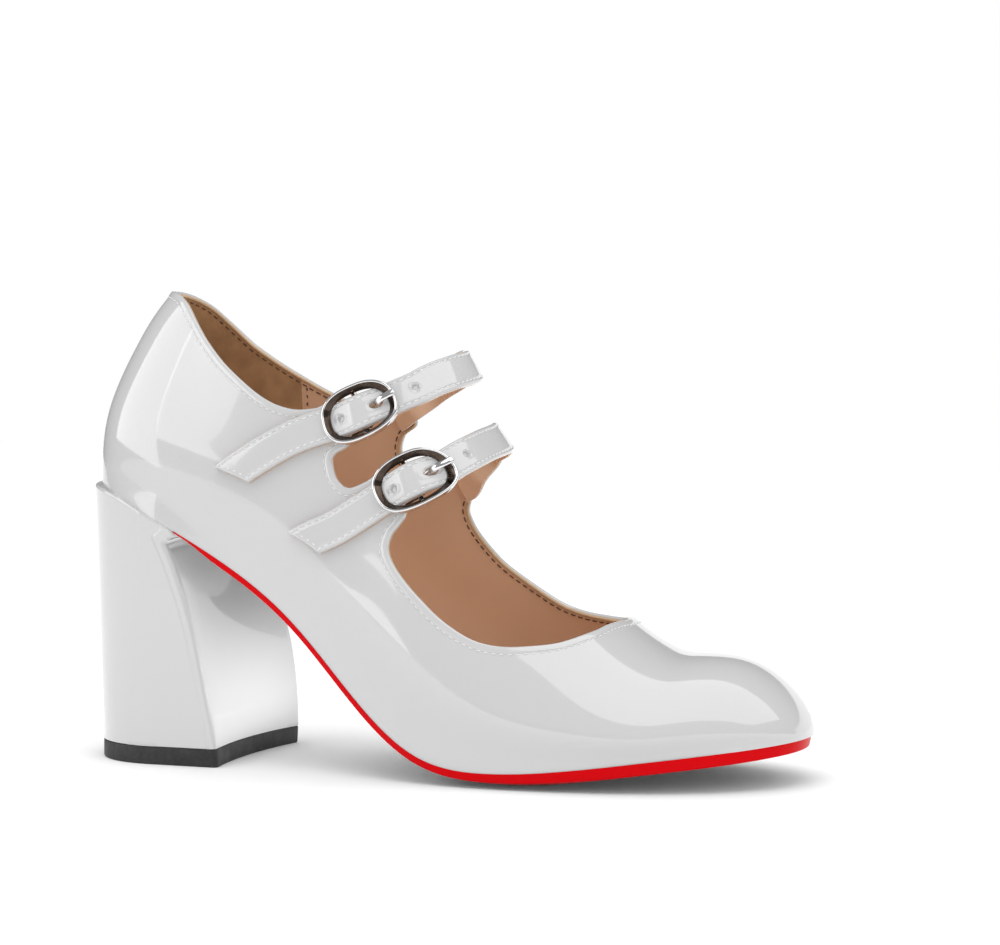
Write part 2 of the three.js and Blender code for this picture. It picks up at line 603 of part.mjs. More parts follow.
// Height of the strap's underside: it rises over the buckle's bar and dips under the ear.
function strapLie(space, run) {
  const fromBar = clamp((run - space.bar) / (BUCKLE.length / 2), -1, 1);
  const hump = STRAP.hump * Math.cos(Math.PI / 2 * fromBar) ** 2;
  const tuck = smooth((run - space.ear + STRAP.tuckLead) / STRAP.tuckLength);
  return lerp(STRAP.lie + hump, STRAP.tuck, tuck) - space.sag * freeShare(space, run);
}

const STRAP_STEPS = 42;

function strapGeometry(space) {
  const half = STRAP.width / 2;
  const flat = half - STRAP.chamfer;
  const shoulder = STRAP.thickness - STRAP.chamfer;
  const section = [
    [-half, STRAP.chamfer], [-flat, 0], [flat, 0], [half, STRAP.chamfer],
    [half, shoulder], [flat, STRAP.thickness], [-flat, STRAP.thickness], [-half, shoulder],
  ];
  const rings = Array.from({ length: STRAP_STEPS + 1 }, (_, i) => {
    const run = (space.length - STRAP.trim) * i / STRAP_STEPS;
    const slant = STRAP.slant * (1 - smooth(run / STRAP.slantFade));
    return section.map(([across, out]) => {
      const at = run - slant * across;
      const lean = space.tilt * freeShare(space, at) * across;
      return space.place(at, across, strapLie(space, at) + out - lean);
    });
  });
  let solid = solidOf(loft(rings.reverse()));
  const holes = [
    { run: space.bar + PRONG.hole, radius: PRONG.slot, stretch: PRONG.slotStretch },
    { run: space.bar + PRONG.hole - HOLE.behind, radius: HOLE.radius, stretch: 1 },
    { run: space.bar + PRONG.hole + HOLE.ahead, radius: HOLE.radius, stretch: 1 },
  ];
  holes.forEach((hole) => {
    const depth = 2.5 * STRAP.thickness;
    const punch = new THREE.CylinderGeometry(hole.radius, hole.radius, depth, 10, 1);
    const middle = strapLie(space, hole.run) + STRAP.thickness / 2;
    const cutter = reshaped(tidied(punch.rotateX(Math.PI / 2)), (point) => space.place(
      hole.run + point.x * hole.stretch, point.y, middle + point.z,
    ));
    solid = solid.subtract(solidOf(cutter));
  });
  return geometryFromSolid(solid);
}

// Turns a shape made beside the bar (x along the strap, y across it, z out) into place.
const atBuckle = (geometry, space) => reshaped(
  geometry,
  (point) => space.place(space.bar + point.x, point.y, point.z),
);

const OVAL_STEPS = 34;
const ROD_SIDES = 8;                              // sides of the ring's, bar's and prong's sections

function buckleGeometry(space) {
  const reach = (BUCKLE.length - BUCKLE.rim) / 2;
  const breadth = (BUCKLE.width - BUCKLE.rim) / 2;
  const power = 2 / BUCKLE.power;
  const oval = Array.from({ length: OVAL_STEPS }, (_, i) => {
    const angle = 2 * Math.PI * i / OVAL_STEPS;
    const bow = (value) => Math.sign(value) * Math.abs(value) ** power;
    return new THREE.Vector3(reach * bow(Math.cos(angle)), breadth * bow(Math.sin(angle)), BUCKLE.level);
  });
  const up = new THREE.Vector3(0, 0, 1);
  const rim = tube(oval, up, BUCKLE.rimHeight / 2, BUCKLE.rim / 2, ROD_SIDES, true);
  // the bar hangs below the rim, so that the strap passes over it
  const drop = [
    [breadth, BUCKLE.level], [breadth - 0.7, 2.4], [breadth - 1.4, 0.6], [breadth - BAR.end, BAR.level],
  ];
  const route = [...drop.map(([y, z]) => [-y, z]), ...drop.slice().reverse()];
  const path = route.map(([y, z]) => new THREE.Vector3(0, y, z));
  const bar = tube(path, new THREE.Vector3(1, 0, 0), BAR.radius, BAR.radius, ROD_SIDES, false);
  const solid = solidOf(rim).add(solidOf(bar));
  return atBuckle(geometryFromSolid(solid), space);
}

// Elastic tab: a loop round the bar and a tail that is sewn inside the lateral ear.
function elasticGeometry(space) {
  const inside = BAR.radius + GAP;
  const outside = inside + ELASTIC.thickness;
  const deep = -WALL - GAP - ELASTIC.sink;
  const shape = new THREE.Shape();
  shape.moveTo(-ELASTIC.tail, deep);
  shape.lineTo(-ELASTIC.flatTo, deep);
  shape.lineTo(-ELASTIC.riseTo, BAR.level - inside);
  const joint = Math.asin(inside / outside);
  shape.absarc(0, BAR.level, outside, Math.PI + joint, -Math.PI / 2, true);
  shape.lineTo(-ELASTIC.riseTo, BAR.level - outside);
  shape.lineTo(-ELASTIC.flatTo, deep - ELASTIC.thickness);
  shape.lineTo(-ELASTIC.tail, deep - ELASTIC.thickness);
  shape.closePath();
  const eye = new THREE.Path();
  eye.absarc(0, BAR.level, inside, 0, 2 * Math.PI, false);
  shape.holes.push(eye);
  const settings = { depth: ELASTIC.width, bevelEnabled: false, curveSegments: 8, steps: 2 };
  const strip = new THREE.ExtrudeGeometry(shape, settings)
    .rotateX(Math.PI / 2).translate(0, ELASTIC.width / 2, 0);
  const slot = new THREE.BoxGeometry(8, ELASTIC.slot, 8).translate(0.5, 0, 0);
  const solid = solidOf(strip).subtract(solidOf(slot));
  return atBuckle(geometryFromSolid(solid), space);
}

function prongGeometry(space) {
  const turn = BAR.radius + GAP + PRONG.radius;
  const loopPoints = Array.from({ length: 11 }, (_, i) => {
    const angle = -Math.PI / 3 - i * Math.PI * 7 / 6 / 10;
    return [turn * Math.cos(angle), BAR.level + turn * Math.sin(angle)];
  });
  const rimTop = BUCKLE.level + BUCKLE.rimHeight / 2;
  const over = rimTop + GAP + PRONG.radius;
  const route = [
    ...loopPoints, [1.6, 1.45], [3.0, 1.3], [3.9, 1.9], [4.9, 3.4], [5.9, 4.6], [7.2, 5.4],
    [9.2, over - 0.1], [PRONG.tip, over],
  ];
  const path = route.map(([x, z]) => new THREE.Vector3(x, 0, z));
  const rod = tube(path, new THREE.Vector3(0, 1, 0), PRONG.radius, PRONG.radius, ROD_SIDES, false);
  return atBuckle(rod, space);
}

// ---------------------------------------------------------------- assembly
const patent = () => new THREE.MeshStandardMaterial({ color: 0xe4e4e4, roughness: 0.12, metalness: 0 });
const redSole = () => new THREE.MeshStandardMaterial({ color: 0xc8000a, roughness: 0.35, metalness: 0 });
const tanLeather = () => new THREE.MeshStandardMaterial({ color: 0xa87a5c, roughness: 0.6, metalness: 0 });
const blackRubber = () => new THREE.MeshStandardMaterial({ color: 0x1c1c1c, roughness: 0.7, metalness: 0 });
const blackElastic = () => new THREE.MeshStandardMaterial({ color: 0x141414, roughness: 0.9, metalness: 0 });
const chrome = () => new THREE.MeshStandardMaterial({ color: 0xd8d8da, roughness: 0.1, metalness: 1 });

const pump = new THREE.Group();

function addPiece(name, geometry, material) {
  const mesh = new THREE.Mesh(geometry, material);
  mesh.name = name;
  pump.add(mesh);
}

addPiece('upper', upperGeometry(), patent());
addPiece('outsole', outsoleGeometry(), redSole());
addPiece('insole', insoleGeometry(), tanLeather());
addPiece('heel_block', heelGeometry(), patent());
addPiece('top_lift', topLiftGeometry(), blackRubber());
STRAPS.forEach((strap) => {
  const space = strapSpace(strap);
  addPiece(`strap_${strap.name}`, strapGeometry(space), patent());
  addPiece(`buckle_${strap.name}`, buckleGeometry(space), chrome());
  addPiece(`prong_${strap.name}`, prongGeometry(space), chrome());
  addPiece(`elastic_${strap.name}`, elasticGeometry(space), blackElastic());
});

// The origin is on the floor, under the middle of the shoe.
const box = new THREE.Box3().setFromObject(pump);
const centre = box.getCenter(new THREE.Vector3());
pump.position.set(-centre.x, -centre.y, -box.min.z);

export default pump;
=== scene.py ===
"""Looks of a mary jane pump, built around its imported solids.

Lengths in the tables are millimetres in the shoe's own frame: x runs from the heel to the toe
(a station), y to the medial side, z up from the floor. Meshes are made in metres, in the
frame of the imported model.
"""

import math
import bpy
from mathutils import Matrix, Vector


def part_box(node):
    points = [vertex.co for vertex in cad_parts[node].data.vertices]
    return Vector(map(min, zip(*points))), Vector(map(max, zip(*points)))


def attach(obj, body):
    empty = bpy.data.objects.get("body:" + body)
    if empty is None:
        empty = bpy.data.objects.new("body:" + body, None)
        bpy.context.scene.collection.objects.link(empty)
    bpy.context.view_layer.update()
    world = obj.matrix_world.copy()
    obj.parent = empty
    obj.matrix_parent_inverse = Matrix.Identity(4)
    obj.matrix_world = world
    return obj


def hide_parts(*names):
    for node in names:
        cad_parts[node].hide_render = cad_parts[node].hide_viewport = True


bl_info = {
    "name": "Mary Jane Pump",
    "version": (1, 0, 0),
    "blender": (4, 5, 0),
    "location": "3D View > Sidebar > Pump",
    "description": "Patent pump with two buckled straps, its linings, sole, heel and stage",
    "category": "Object",
}

import bmesh
import bpy
import numpy as np
from mathutils import Quaternion, Vector

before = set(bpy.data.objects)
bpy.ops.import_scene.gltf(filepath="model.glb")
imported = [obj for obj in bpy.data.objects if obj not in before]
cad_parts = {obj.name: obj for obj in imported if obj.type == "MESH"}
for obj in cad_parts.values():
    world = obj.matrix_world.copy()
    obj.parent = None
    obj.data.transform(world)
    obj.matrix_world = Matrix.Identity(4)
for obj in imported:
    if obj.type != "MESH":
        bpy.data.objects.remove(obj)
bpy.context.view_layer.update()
MM = 0.001

# ---------------------------------------------------------------- the last and its tables
BACK, TOE = 3.0, 219.0            # stations of the last's two ends
PLAN_BACK = (30.0, 2.25)          # reach and power of the plan's rounding at the heel
PLAN_TOE = (54.0, 2.25)           # the same at the toe
NOSE = (33.0, 1.73)               # how the toe's height rounds down
TOE_SWING = (2.0, 120.0)          # offset to the medial side, and the station it starts from
FEATHER_INSET = (0.075, 0.3)      # how far the wall draws in at the feather, and its fade
LEAN_END = 75.0                   # station where the lean of the back has faded out
VAMP = (120.0, 50.0)              # where the wall's lines turn into the toe's
WALL = 1.6                        # thickness of the upper with its lining
SOLE_RIM = (0.3, 0.5, 36.0)       # out, undercut and the half-width they refer to
SOLE_REAR, CROWN_END = 37.8, 195.0
SOLE_TIP = (1.3, 190.0)           # how far the sole's tip draws back, and from which station
SOLE_SKIVE = (0.75, 16.0)         # how much thinner the sole is at its rear end, and how far
GAP = 0.3                         # clearance between neighbouring bodies
SOCK = (1.15, 0.2, 2.8)           # inset, lift, thickness; its edge runs into the lining
SOCK_LINE = (0.18, 5.5, 0.5)      # pressed line: depth, distance from the edge, width
SOCK_PAD = (0.5, 6, 12, 95, 30)   # height, start and fade from the edge, front end and its fade

# Cross-sections: feather is the height of the upper's lower edge, ridge that of the instep.
SECTIONS = {
    "station": (-6, 14, 32, 52, 77, 97, 115, 137, 159, 180, 200, 225),
    "feather": (83, 78.8, 71, 60.4, 42.4, 22, 8.5, 4.4, 5.9, 8.6, 11, 13.9),
    "ridge": (172, 174, 173, 168, 157, 141, 119, 75, 49.4, 35.6, 37, 36.5),
    "lateral": (27.4, 29.4, 30.8, 31.8, 33.6, 36.5, 40.5, 43, 42.5, 40, 37.5, 35),
    "medial": (27.4, 29.2, 30.2, 31, 32.2, 34.5, 37.5, 39.5, 39.5, 37.5, 35, 33),
    "fullness": (1.55, 1.45, 1.45, 1.6, 1.8, 1.85, 1.9, 2.1, 2.2, 2.25, 2.3, 2.3),
}
BACK_LEAN = {
    "height": (60, 82, 92, 102, 112.5, 122.5, 132, 138.5, 150, 175),
    "lean": (0, 0, 0.3, 2.0, 5.8, 10.8, 16.6, 21.9, 31.4, 52),
}
SOLE = {
    "station": (26, 52, 77, 97, 115, 137, 150, 165, 185, 222),
    "edge": (1.7, 1.8, 2.1, 2.3, 2.0, 2.2, 2.5, 2.9, 3.1, 3.0),
    "crown": (0.2, 0.3, 0.4, 0.9, 1.9, 3.0, 3.1, 2.4, 1.5, 0.4),
}
# Top edge from the back of the heel to the middle of the throat: foot is where the wall's
# rising line starts, station and rise where it ends, bend how late it leans forward.
TOP_BEND = (1, 1, 1, 1, 1, 1, 1, 1, 1.05, 1.2, 1.35, 1.35, 1.25, 1.15, 1.1, 1.05, 1.15, 1.35, 1.35,
            1.3, 1.2, 1.15, 1.15, 1.2, 1.4, 1.8, 2.1, 2.2, 2.2)
TOP_EDGE = {
    "lateral": {
        "foot": (3, 8, 14, 21, 28, 35, 42, 48, 53, 56.5, 59, 61.5, 64, 67.5, 71.5, 75.5, 79,
                 82.5, 86.5, 90.5, 96.5, 105.5, 118, 132, 148.5, 169, 190, 207, 219),
        "station": (3, 9, 19, 30.5, 41.4, 53, 64.9, 74, 81.7, 88, 93, 88.5, 87.8, 89.6, 93.4,
                    98.5, 104.7, 111.1, 107.3, 106.7, 109.7, 116.3, 125.6, 135.8, 146.5,
                    156.2, 162, 164.4, 165.7),
        "rise": (0.387, 0.382, 0.366, 0.345, 0.321, 0.299, 0.287, 0.303, 0.343, 0.393, 0.354,
                 0.301, 0.283, 0.266, 0.272, 0.311, 0.366, 0.341, 0.273, 0.246, 0.232, 0.23,
                 0.243, 0.284, 0.37, 0.495, 0.665, 0.835, 1),
        "bend": TOP_BEND,
    },
    "medial": {
        "foot": (3, 8, 14, 21, 28, 35, 42, 47, 51, 54.5, 58, 61, 64, 67.5, 71.5, 75.5, 79,
                 82.5, 86.5, 91, 97.5, 106.5, 118, 132, 148.5, 169, 190, 207, 219),
        "station": (3, 9, 19, 30.5, 41.4, 53, 62.6, 71, 78.5, 85.8, 92.4, 87.9, 86.5, 89, 93.5,
                    98.5, 104.3, 110.9, 108.3, 107.6, 111, 118.5, 128.5, 138.5, 148.5, 157.2,
                    162.4, 164.9, 165.7),
        "rise": (0.387, 0.364, 0.331, 0.309, 0.3, 0.295, 0.294, 0.303, 0.337, 0.394, 0.38,
                 0.325, 0.286, 0.27, 0.286, 0.324, 0.372, 0.368, 0.325, 0.294, 0.274, 0.272,
                 0.306, 0.36, 0.446, 0.56, 0.71, 0.86, 1),
        "bend": TOP_BEND,
    },
}
THROAT = len(TOP_EDGE["lateral"]["foot"]) - 1   # the loop coordinate at the throat's middle
BREAST = {
    "height": (0, 5.8, 16.4, 28, 42, 52, 62.6, 72),
    "station": (51.2, 50.6, 48.8, 46.3, 43, 39.7, 35.4, 30.6),
}
HEEL = {
    "rim": 0.9, "half_width": 28.6, "waist": 27, "reach": 27, "back_top": 1.2, "back_low": 4.2,
    "seat_front": 40, "scoop": 2.6, "scoop_from": 0.4, "scoop_top": 0.88, "lip": 4.6,
    "lip_from": 0.9, "turn": 4, "turn_height": 80, "corner": 1.3,
}
HEEL_PASSES = 12                  # passes that find the height of the heel's seat
HEEL_RIDGE = (0.1, 2.6, 0.3)      # height, distance from the breast, width
TOP_LIFT = 5.2                    # height of the rubber lift
# Middle line of each strap over the last, by station and sweep (-1 lateral feather, 0 instep,
# 1 medial feather), with the rows over the bar and under the medial ear.
STRAPS = {
    "upper": {
        "station": (57.8, 71, 86.8, 95.8, 103.6, 110.6, 115.8, 117.3, 114.6, 107.3, 98, 89, 86),
        "sweep": (-0.863, -0.774, -0.659, -0.582, -0.492, -0.376, -0.2, 0, 0.19, 0.375, 0.51,
                  0.616, 0.645),
        "bar": 3, "ear": 11, "sag": 0.0, "tilt": 0.0,
    },
    "lower": {
        "station": (81.6, 92.4, 104, 113, 119.8, 124.6, 126.9, 126.9, 124.3, 120.7, 114.8, 109,
                    106),
        "sweep": (-0.87, -0.791, -0.687, -0.59, -0.475, -0.311, -0.13, 0.05, 0.24, 0.38, 0.51,
                  0.627, 0.66),
        "bar": 3, "ear": 11, "sag": 1.6, "tilt": 0.18,
    },
}
STRAP = {"width": 10, "thickness": 2, "lie": 0.4, "hump": 2.3, "slant": 0.68, "slant_fade": 14,
         "trim": 0.6, "tuck": -4.1, "tuck_lead": 11, "tuck_length": 9,
         "free_from": 11, "free_lead": 22, "free_to": 6, "free_fade": 16}
BUCKLE = {"length": 21.2, "width": 16.4, "level": 4.0, "height": 2.4, "power": 2.5,
          "steps": 160}
BAR = {"radius": 0.9, "level": -0.3, "end": 2.9}
ELASTIC = {"width": 8, "thickness": 1, "tail": 18, "slot": 2.6, "sink": 0.7, "flat_to": 4.8}
PRONG = {"radius": 0.6, "hole": 5.1, "tip": 10.8, "slot": 1.2, "stretch": 1.65}
HOLE = {"radius": 1.0, "ahead": 11.5, "behind": 10.5}


# ---------------------------------------------------------------- curves through tables
def smooth(share):
    """Step from 0 to 1 that starts and ends level: 6 t^5 - 15 t^4 + 10 t^3."""
    t = np.clip(share, 0, 1)
    return t * t * t * (t * (6 * t - 15) + 10)


def quadrant(share, power):
    """Superellipse quadrant: 1 at share 0 and 0 at share 1, (1 - s^p)^(1/p)."""
    return (1 - np.clip(share, 0, 1) ** power) ** (1 / power)


def bump(value, middle, width):
    """Bell of height 1 round middle: exp(-((v - m) / w)^2)."""
    return np.exp(-(((value - middle) / width) ** 2))


def spline(table, x_name, y_name):
    """Natural cubic spline through two columns of a table, for whole arrays."""
    x = np.array(table[x_name], float)
    y = np.array(table[y_name], float)
    count = len(x)
    bend = np.zeros(count)
    carry = np.zeros(count)
    for i in range(1, count - 1):
        ratio = (x[i] - x[i - 1]) / (x[i + 1] - x[i - 1])
        pivot = ratio * bend[i - 1] + 2
        after = (y[i + 1] - y[i]) / (x[i + 1] - x[i])
        before = (y[i] - y[i - 1]) / (x[i] - x[i - 1])
        bend[i] = (ratio - 1) / pivot
        carry[i] = (6 * (after - before) / (x[i + 1] - x[i - 1]) - ratio * carry[i - 1]) / pivot
    for i in range(count - 2, -1, -1):
        bend[i] = bend[i] * bend[i + 1] + carry[i]

    def curve(at):
        at = np.asarray(at, float)
        k = np.searchsorted(x[1:-1], at, side="left")
        span = x[k + 1] - x[k]
        a = (x[k + 1] - at) / span
        b = (at - x[k]) / span
        cubic = (a**3 - a) * bend[k] + (b**3 - b) * bend[k + 1]
        return a * y[k] + b * y[k + 1] + cubic * span * span / 6

    return curve


def between(values, at):
    """Catmull-Rom value between evenly counted entries; at runs from 0 to their number - 1."""
    values = np.asarray(values, float)
    last = len(values) - 1
    k = np.clip(np.floor(at), 0, last - 1).astype(int)
    f = at - k
    b = values[k]
    c = values[k + 1]
    a = np.where(k > 0, values[np.maximum(k - 1, 0)], 2 * b - c)
    d = np.where(k + 2 <= last, values[np.minimum(k + 2, last)], 2 * c - b)
    return b + 0.5 * f * (c - a + f * (2 * a - 5 * b + 4 * c - d + f * (3 * (b - c) + d - a)))


def unit(vectors):
    """The vectors at length 1."""
    return vectors / np.maximum(np.linalg.norm(vectors, axis=-1, keepdims=True), 1e-12)


def run_along(points):
    """Length of a polyline up to each of its points."""
    return np.concatenate([[0], np.cumsum(np.linalg.norm(np.diff(points, axis=0), axis=1))])


def shares_of(goal, a, b):
    """Amounts of the slopes a and b whose sum comes nearest to goal: the normal equations."""
    aa, ab, bb = (np.sum(p * q, axis=-1) for p, q in ((a, a), (a, b), (b, b)))
    ag, bg = np.sum(a * goal, axis=-1), np.sum(b * goal, axis=-1)
    det = np.maximum(aa * bb - ab * ab, 1e-9)
    return (bb * ag - ab * bg) / det, (aa * bg - ab * ag) / det


feather = spline(SECTIONS, "station", "feather")
ridge = spline(SECTIONS, "station", "ridge")
lateral_width = spline(SECTIONS, "station", "lateral")
medial_width = spline(SECTIONS, "station", "medial")
fullness = spline(SECTIONS, "station", "fullness")
back_lean = spline(BACK_LEAN, "height", "lean")
sole_edge = spline(SOLE, "station", "edge")
sole_crown = spline(SOLE, "station", "crown")
breast = spline(BREAST, "height", "station")


def half_width(station, side):
    """Half the last's width: the side's own width, rounded off at both ends of the plan."""
    width = np.where(side < 0, lateral_width(station), medial_width(station))
    toe = quadrant((station - TOE + PLAN_TOE[0]) / PLAN_TOE[0], PLAN_TOE[1])
    back = quadrant((BACK + PLAN_BACK[0] - station) / PLAN_BACK[0], PLAN_BACK[1])
    return width * toe * back


def toe_swing(station):
    """Sideways offset of the last's middle line."""
    return TOE_SWING[0] * smooth((station - TOE_SWING[1]) / (TOE - TOE_SWING[1]))


def last_point(station, height, side):
    """Point outside the last: z climbs from the feather to the instep line with height, and y
    is the half-width times a superellipse quadrant of height, drawn in at the feather."""
    low = feather(station)
    nose = quadrant((station - TOE + NOSE[0]) / NOSE[0], NOSE[1])
    z = low + (ridge(station) - low) * nose * height
    inset = 1 - FEATHER_INSET[0] * (1 - smooth(height / FEATHER_INSET[1]))
    y = side * half_width(station, side) * quadrant(height, fullness(station)) * inset
    lean = back_lean(z) * (1 - smooth(station / LEAN_END))
    return np.stack([station + lean, y + toe_swing(station), z], axis=-1)


def height_of_rise(rise):
    """Height up the section for a rise: 1 - (1 - rise)^2."""
    return 1 - (1 - rise) ** 2


def sweep_point(station, sweep):
    """The last's surface by sweep, from the lateral to the medial feather."""
    return last_point(station, height_of_rise(1 - np.abs(sweep)), np.where(sweep < 0, -1.0, 1.0))


def foot_angle(foot):
    """Angle that spreads the foot stations evenly round both ends of the shoe."""
    return np.arccos(np.clip(1 - 2 * (np.asarray(foot, float) - BACK) / (TOE - BACK), -1, 1))


def wall(loop, share):
    """Outside of the upper. loop runs from the throat's middle round the lateral side, the back
    (0) and the medial side to the throat again; share runs from the feather to the top edge."""
    loop, share = np.broadcast_arrays(np.asarray(loop, float), np.asarray(share, float))
    loop = (loop + THROAT) % (2 * THROAT) - THROAT
    side = np.where(loop < 0, -1.0, 1.0)
    at = np.abs(loop)
    columns = []
    for name in ("foot", "station", "rise", "bend"):
        parts = [TOP_EDGE[key][name] for key in ("lateral", "medial")]
        if name == "foot":
            parts = [foot_angle(part) for part in parts]
        columns.append(np.where(side < 0, between(parts[0], at), between(parts[1], at)))
    angle, station, rise, bend = columns
    foot = BACK + (TOE - BACK) * (1 - np.cos(np.clip(angle, 0, math.pi))) / 2
    rise = np.minimum(rise, 1)
    foot_y = half_width(foot, side)
    top_y = half_width(station, side) * quadrant(height_of_rise(rise), fullness(station))
    progress = np.maximum(share, 0) ** bend
    x = foot + (station - foot) * progress
    wide = half_width(x, side)
    ratio = np.where(wide > 1e-6, (foot_y + (top_y - foot_y) * progress) / np.maximum(wide, 1e-6), 0)
    climbing = height_of_rise(rise * share)
    height = climbing + (quadrant(ratio, fullness(x)) - climbing) * smooth((foot - VAMP[0]) / VAMP[1])
    return last_point(x, height, side)


LOOP_STEP, SHARE_STEP = 0.03, 0.012     # half-widths of the differences behind the slopes
# Newton steps: their number, the longest in loop and in share, and the lowest share allowed.
NEWTON_STEPS, LONGEST_STEP, LOWEST_SHARE = 5, (0.4, 0.1), 0.2


def wall_slopes(loop, share):
    """Slopes of the wall with loop and with share, by small differences."""
    upper = np.minimum(share + SHARE_STEP, 1.0)
    lower = np.maximum(upper - 2 * SHARE_STEP, 0.0)
    along = (wall(loop + LOOP_STEP, share) - wall(loop - LOOP_STEP, share)) / (2 * LOOP_STEP)
    up = (wall(loop, upper) - wall(loop, lower)) / (upper - lower)[..., None]
    return along, up


def wall_normal(loop, share):
    """Outward normal of the wall: the slope up the wall crossed with the slope along it."""
    loop, share = np.broadcast_arrays(np.asarray(loop, float), np.asarray(share, float))
    along, up = wall_slopes(loop, share)
    return unit(np.cross(up, along))


def from_edge(loop, distance):
    """Points of the wall a distance below its top edge, square to the edge. The nearest point
    of the surface to that place is found by a few Newton steps in loop and share."""
    loop, distance = np.broadcast_arrays(np.asarray(loop, float), np.asarray(distance, float))
    top = np.ones_like(loop)
    edge = wall(loop, top)
    along = unit(wall(loop + LOOP_STEP, top) - wall(loop - LOOP_STEP, top))
    down = unit(np.cross(along, wall_normal(loop, top)))
    toward = wall(loop, top - SHARE_STEP) - edge
    down = down * np.sign(np.sum(down * toward, axis=-1, keepdims=True))
    goal = edge + down * distance[..., None]
    at_loop, at_share = loop.copy(), top.copy()
    for _ in range(NEWTON_STEPS):
        miss = goal - wall(at_loop, at_share)
        loops, shares = shares_of(miss, *wall_slopes(at_loop, at_share))
        at_loop = at_loop + np.clip(loops, -LONGEST_STEP[0], LONGEST_STEP[0])
        at_share = at_share + np.clip(shares, -LONGEST_STEP[1], LONGEST_STEP[1])
        at_share = np.clip(at_share, LOWEST_SHARE, 1)
    point = wall(at_loop, at_share) + down * np.minimum(distance, 0)[..., None]
    return point, wall_normal(at_loop, at_share)


def edge_loop(spacing, distance=0.0):
    """Loop coordinates evenly spaced along the line at a distance below the top edge."""
    dense = np.linspace(-THROAT, THROAT, 2801)
    points = from_edge(dense, np.full_like(dense, distance))[0]
    run = run_along(points)
    count = int(round(run[-1] / spacing))
    return np.interp(np.arange(count) * run[-1] / count, run, dense)


# ---------------------------------------------------------------- strap space
STRAP_FINE = 400           # steps of a strap's measured middle line


def strap_table(strap):
    """A strap's middle line at even steps of its table, with its length on the last."""
    rows = len(strap["station"]) - 1
    at = np.linspace(0, rows, STRAP_FINE + 1)
    station = between(strap["station"], at)
    sweep = between(strap["sweep"], at)
    run = run_along(sweep_point(station, sweep))
    row = {name: run[int(round(strap[name] * STRAP_FINE / rows))] for name in ("bar", "ear")}
    return {**strap, "station": station, "sweep": sweep, "run": run, "length": run[-1], **row}


def strap_place(space, run, across, out):
    """Point beside a strap's middle line: run along it, across it over the last's surface by
    the step that comes nearest to the sideways vector, and out along the surface's normal."""
    run, across, out = np.broadcast_arrays(*(np.asarray(v, float) for v in (run, across, out)))

    def look_up(at):
        k = np.clip(np.searchsorted(space["run"], at, side="left") - 1, 0, STRAP_FINE - 1)
        share = (at - space["run"][k]) / (space["run"][k + 1] - space["run"][k])
        return [v[k] + (v[k + 1] - v[k]) * share for v in (space["station"], space["sweep"])]

    def slopes(station, sweep):
        along = sweep_point(station + 0.5, sweep) - sweep_point(station - 0.5, sweep)
        round_ = (sweep_point(station, sweep + 0.01) - sweep_point(station, sweep - 0.01)) / 0.02
        return along, round_

    station, sweep = look_up(run)
    along, round_ = slopes(station, sweep)
    normal = unit(np.cross(along, round_))
    forward = unit(sweep_point(*look_up(run + 0.5)) - sweep_point(station, sweep))
    wide = np.cross(normal, forward) * across[..., None]
    more = shares_of(wide, along, round_)
    station, sweep = station + more[0], sweep + more[1]
    normal = unit(np.cross(*slopes(station, sweep)))
    return sweep_point(station, sweep) + normal * out[..., None]


def free_share(space, run):
    """1 along the strap's free stretch, 0 at the buckle and at the ear."""
    start = smooth((run - space["bar"] - STRAP["free_from"]) / STRAP["free_lead"])
    end = smooth((run - space["ear"] + STRAP["free_to"] + STRAP["free_fade"]) / STRAP["free_fade"])
    return start * (1 - end)


def strap_lie(space, run):
    """Height of the strap's underside: up over the buckle's bar, down under the ear."""
    from_bar = np.clip((run - space["bar"]) / (BUCKLE["length"] / 2), -1, 1)
    hump = STRAP["hump"] * np.cos(math.pi / 2 * from_bar) ** 2
    tuck = smooth((run - space["ear"] + STRAP["tuck_lead"]) / STRAP["tuck_length"])
    lie = STRAP["lie"] + hump
    return lie + (STRAP["tuck"] - lie) * tuck - space["sag"] * free_share(space, run)


def on_strap(space, run, across, out):
    """Point of a strap by its flat run and across, with the free end slanted."""
    run, across, out = np.broadcast_arrays(*(np.asarray(v, float) for v in (run, across, out)))
    slant = STRAP["slant"] * (1 - smooth(run / STRAP["slant_fade"]))
    at = run - slant * across
    lean = space["tilt"] * free_share(space, at) * across
    return strap_place(space, at, across, strap_lie(space, at) + out - lean)


STRAP_SPACES = {name: strap_table(strap) for name, strap in STRAPS.items()}

# ---------------------------------------------------------------- from arrays to objects
SHIFT = np.array([
    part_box("upper")[1].x / MM - TOE,
    (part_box("top_lift")[0].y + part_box("top_lift")[1].y) / 2 / MM,
    0.0,
])


def grid_quads(rows, columns, wrap_rows=False, wrap_columns=False):
    """Vertex numbers of a grid's quads, whose rows or columns may close on themselves."""
    i = np.arange(rows if wrap_rows else rows - 1)[:, None]
    j = np.arange(columns if wrap_columns else columns - 1)[None, :]
    k, m = (i + 1) % rows, (j + 1) % columns
    quads = [i * columns + j, k * columns + j, k * columns + m, i * columns + m]
    return np.stack(np.broadcast_arrays(*quads), axis=-1).reshape(-1, 4)


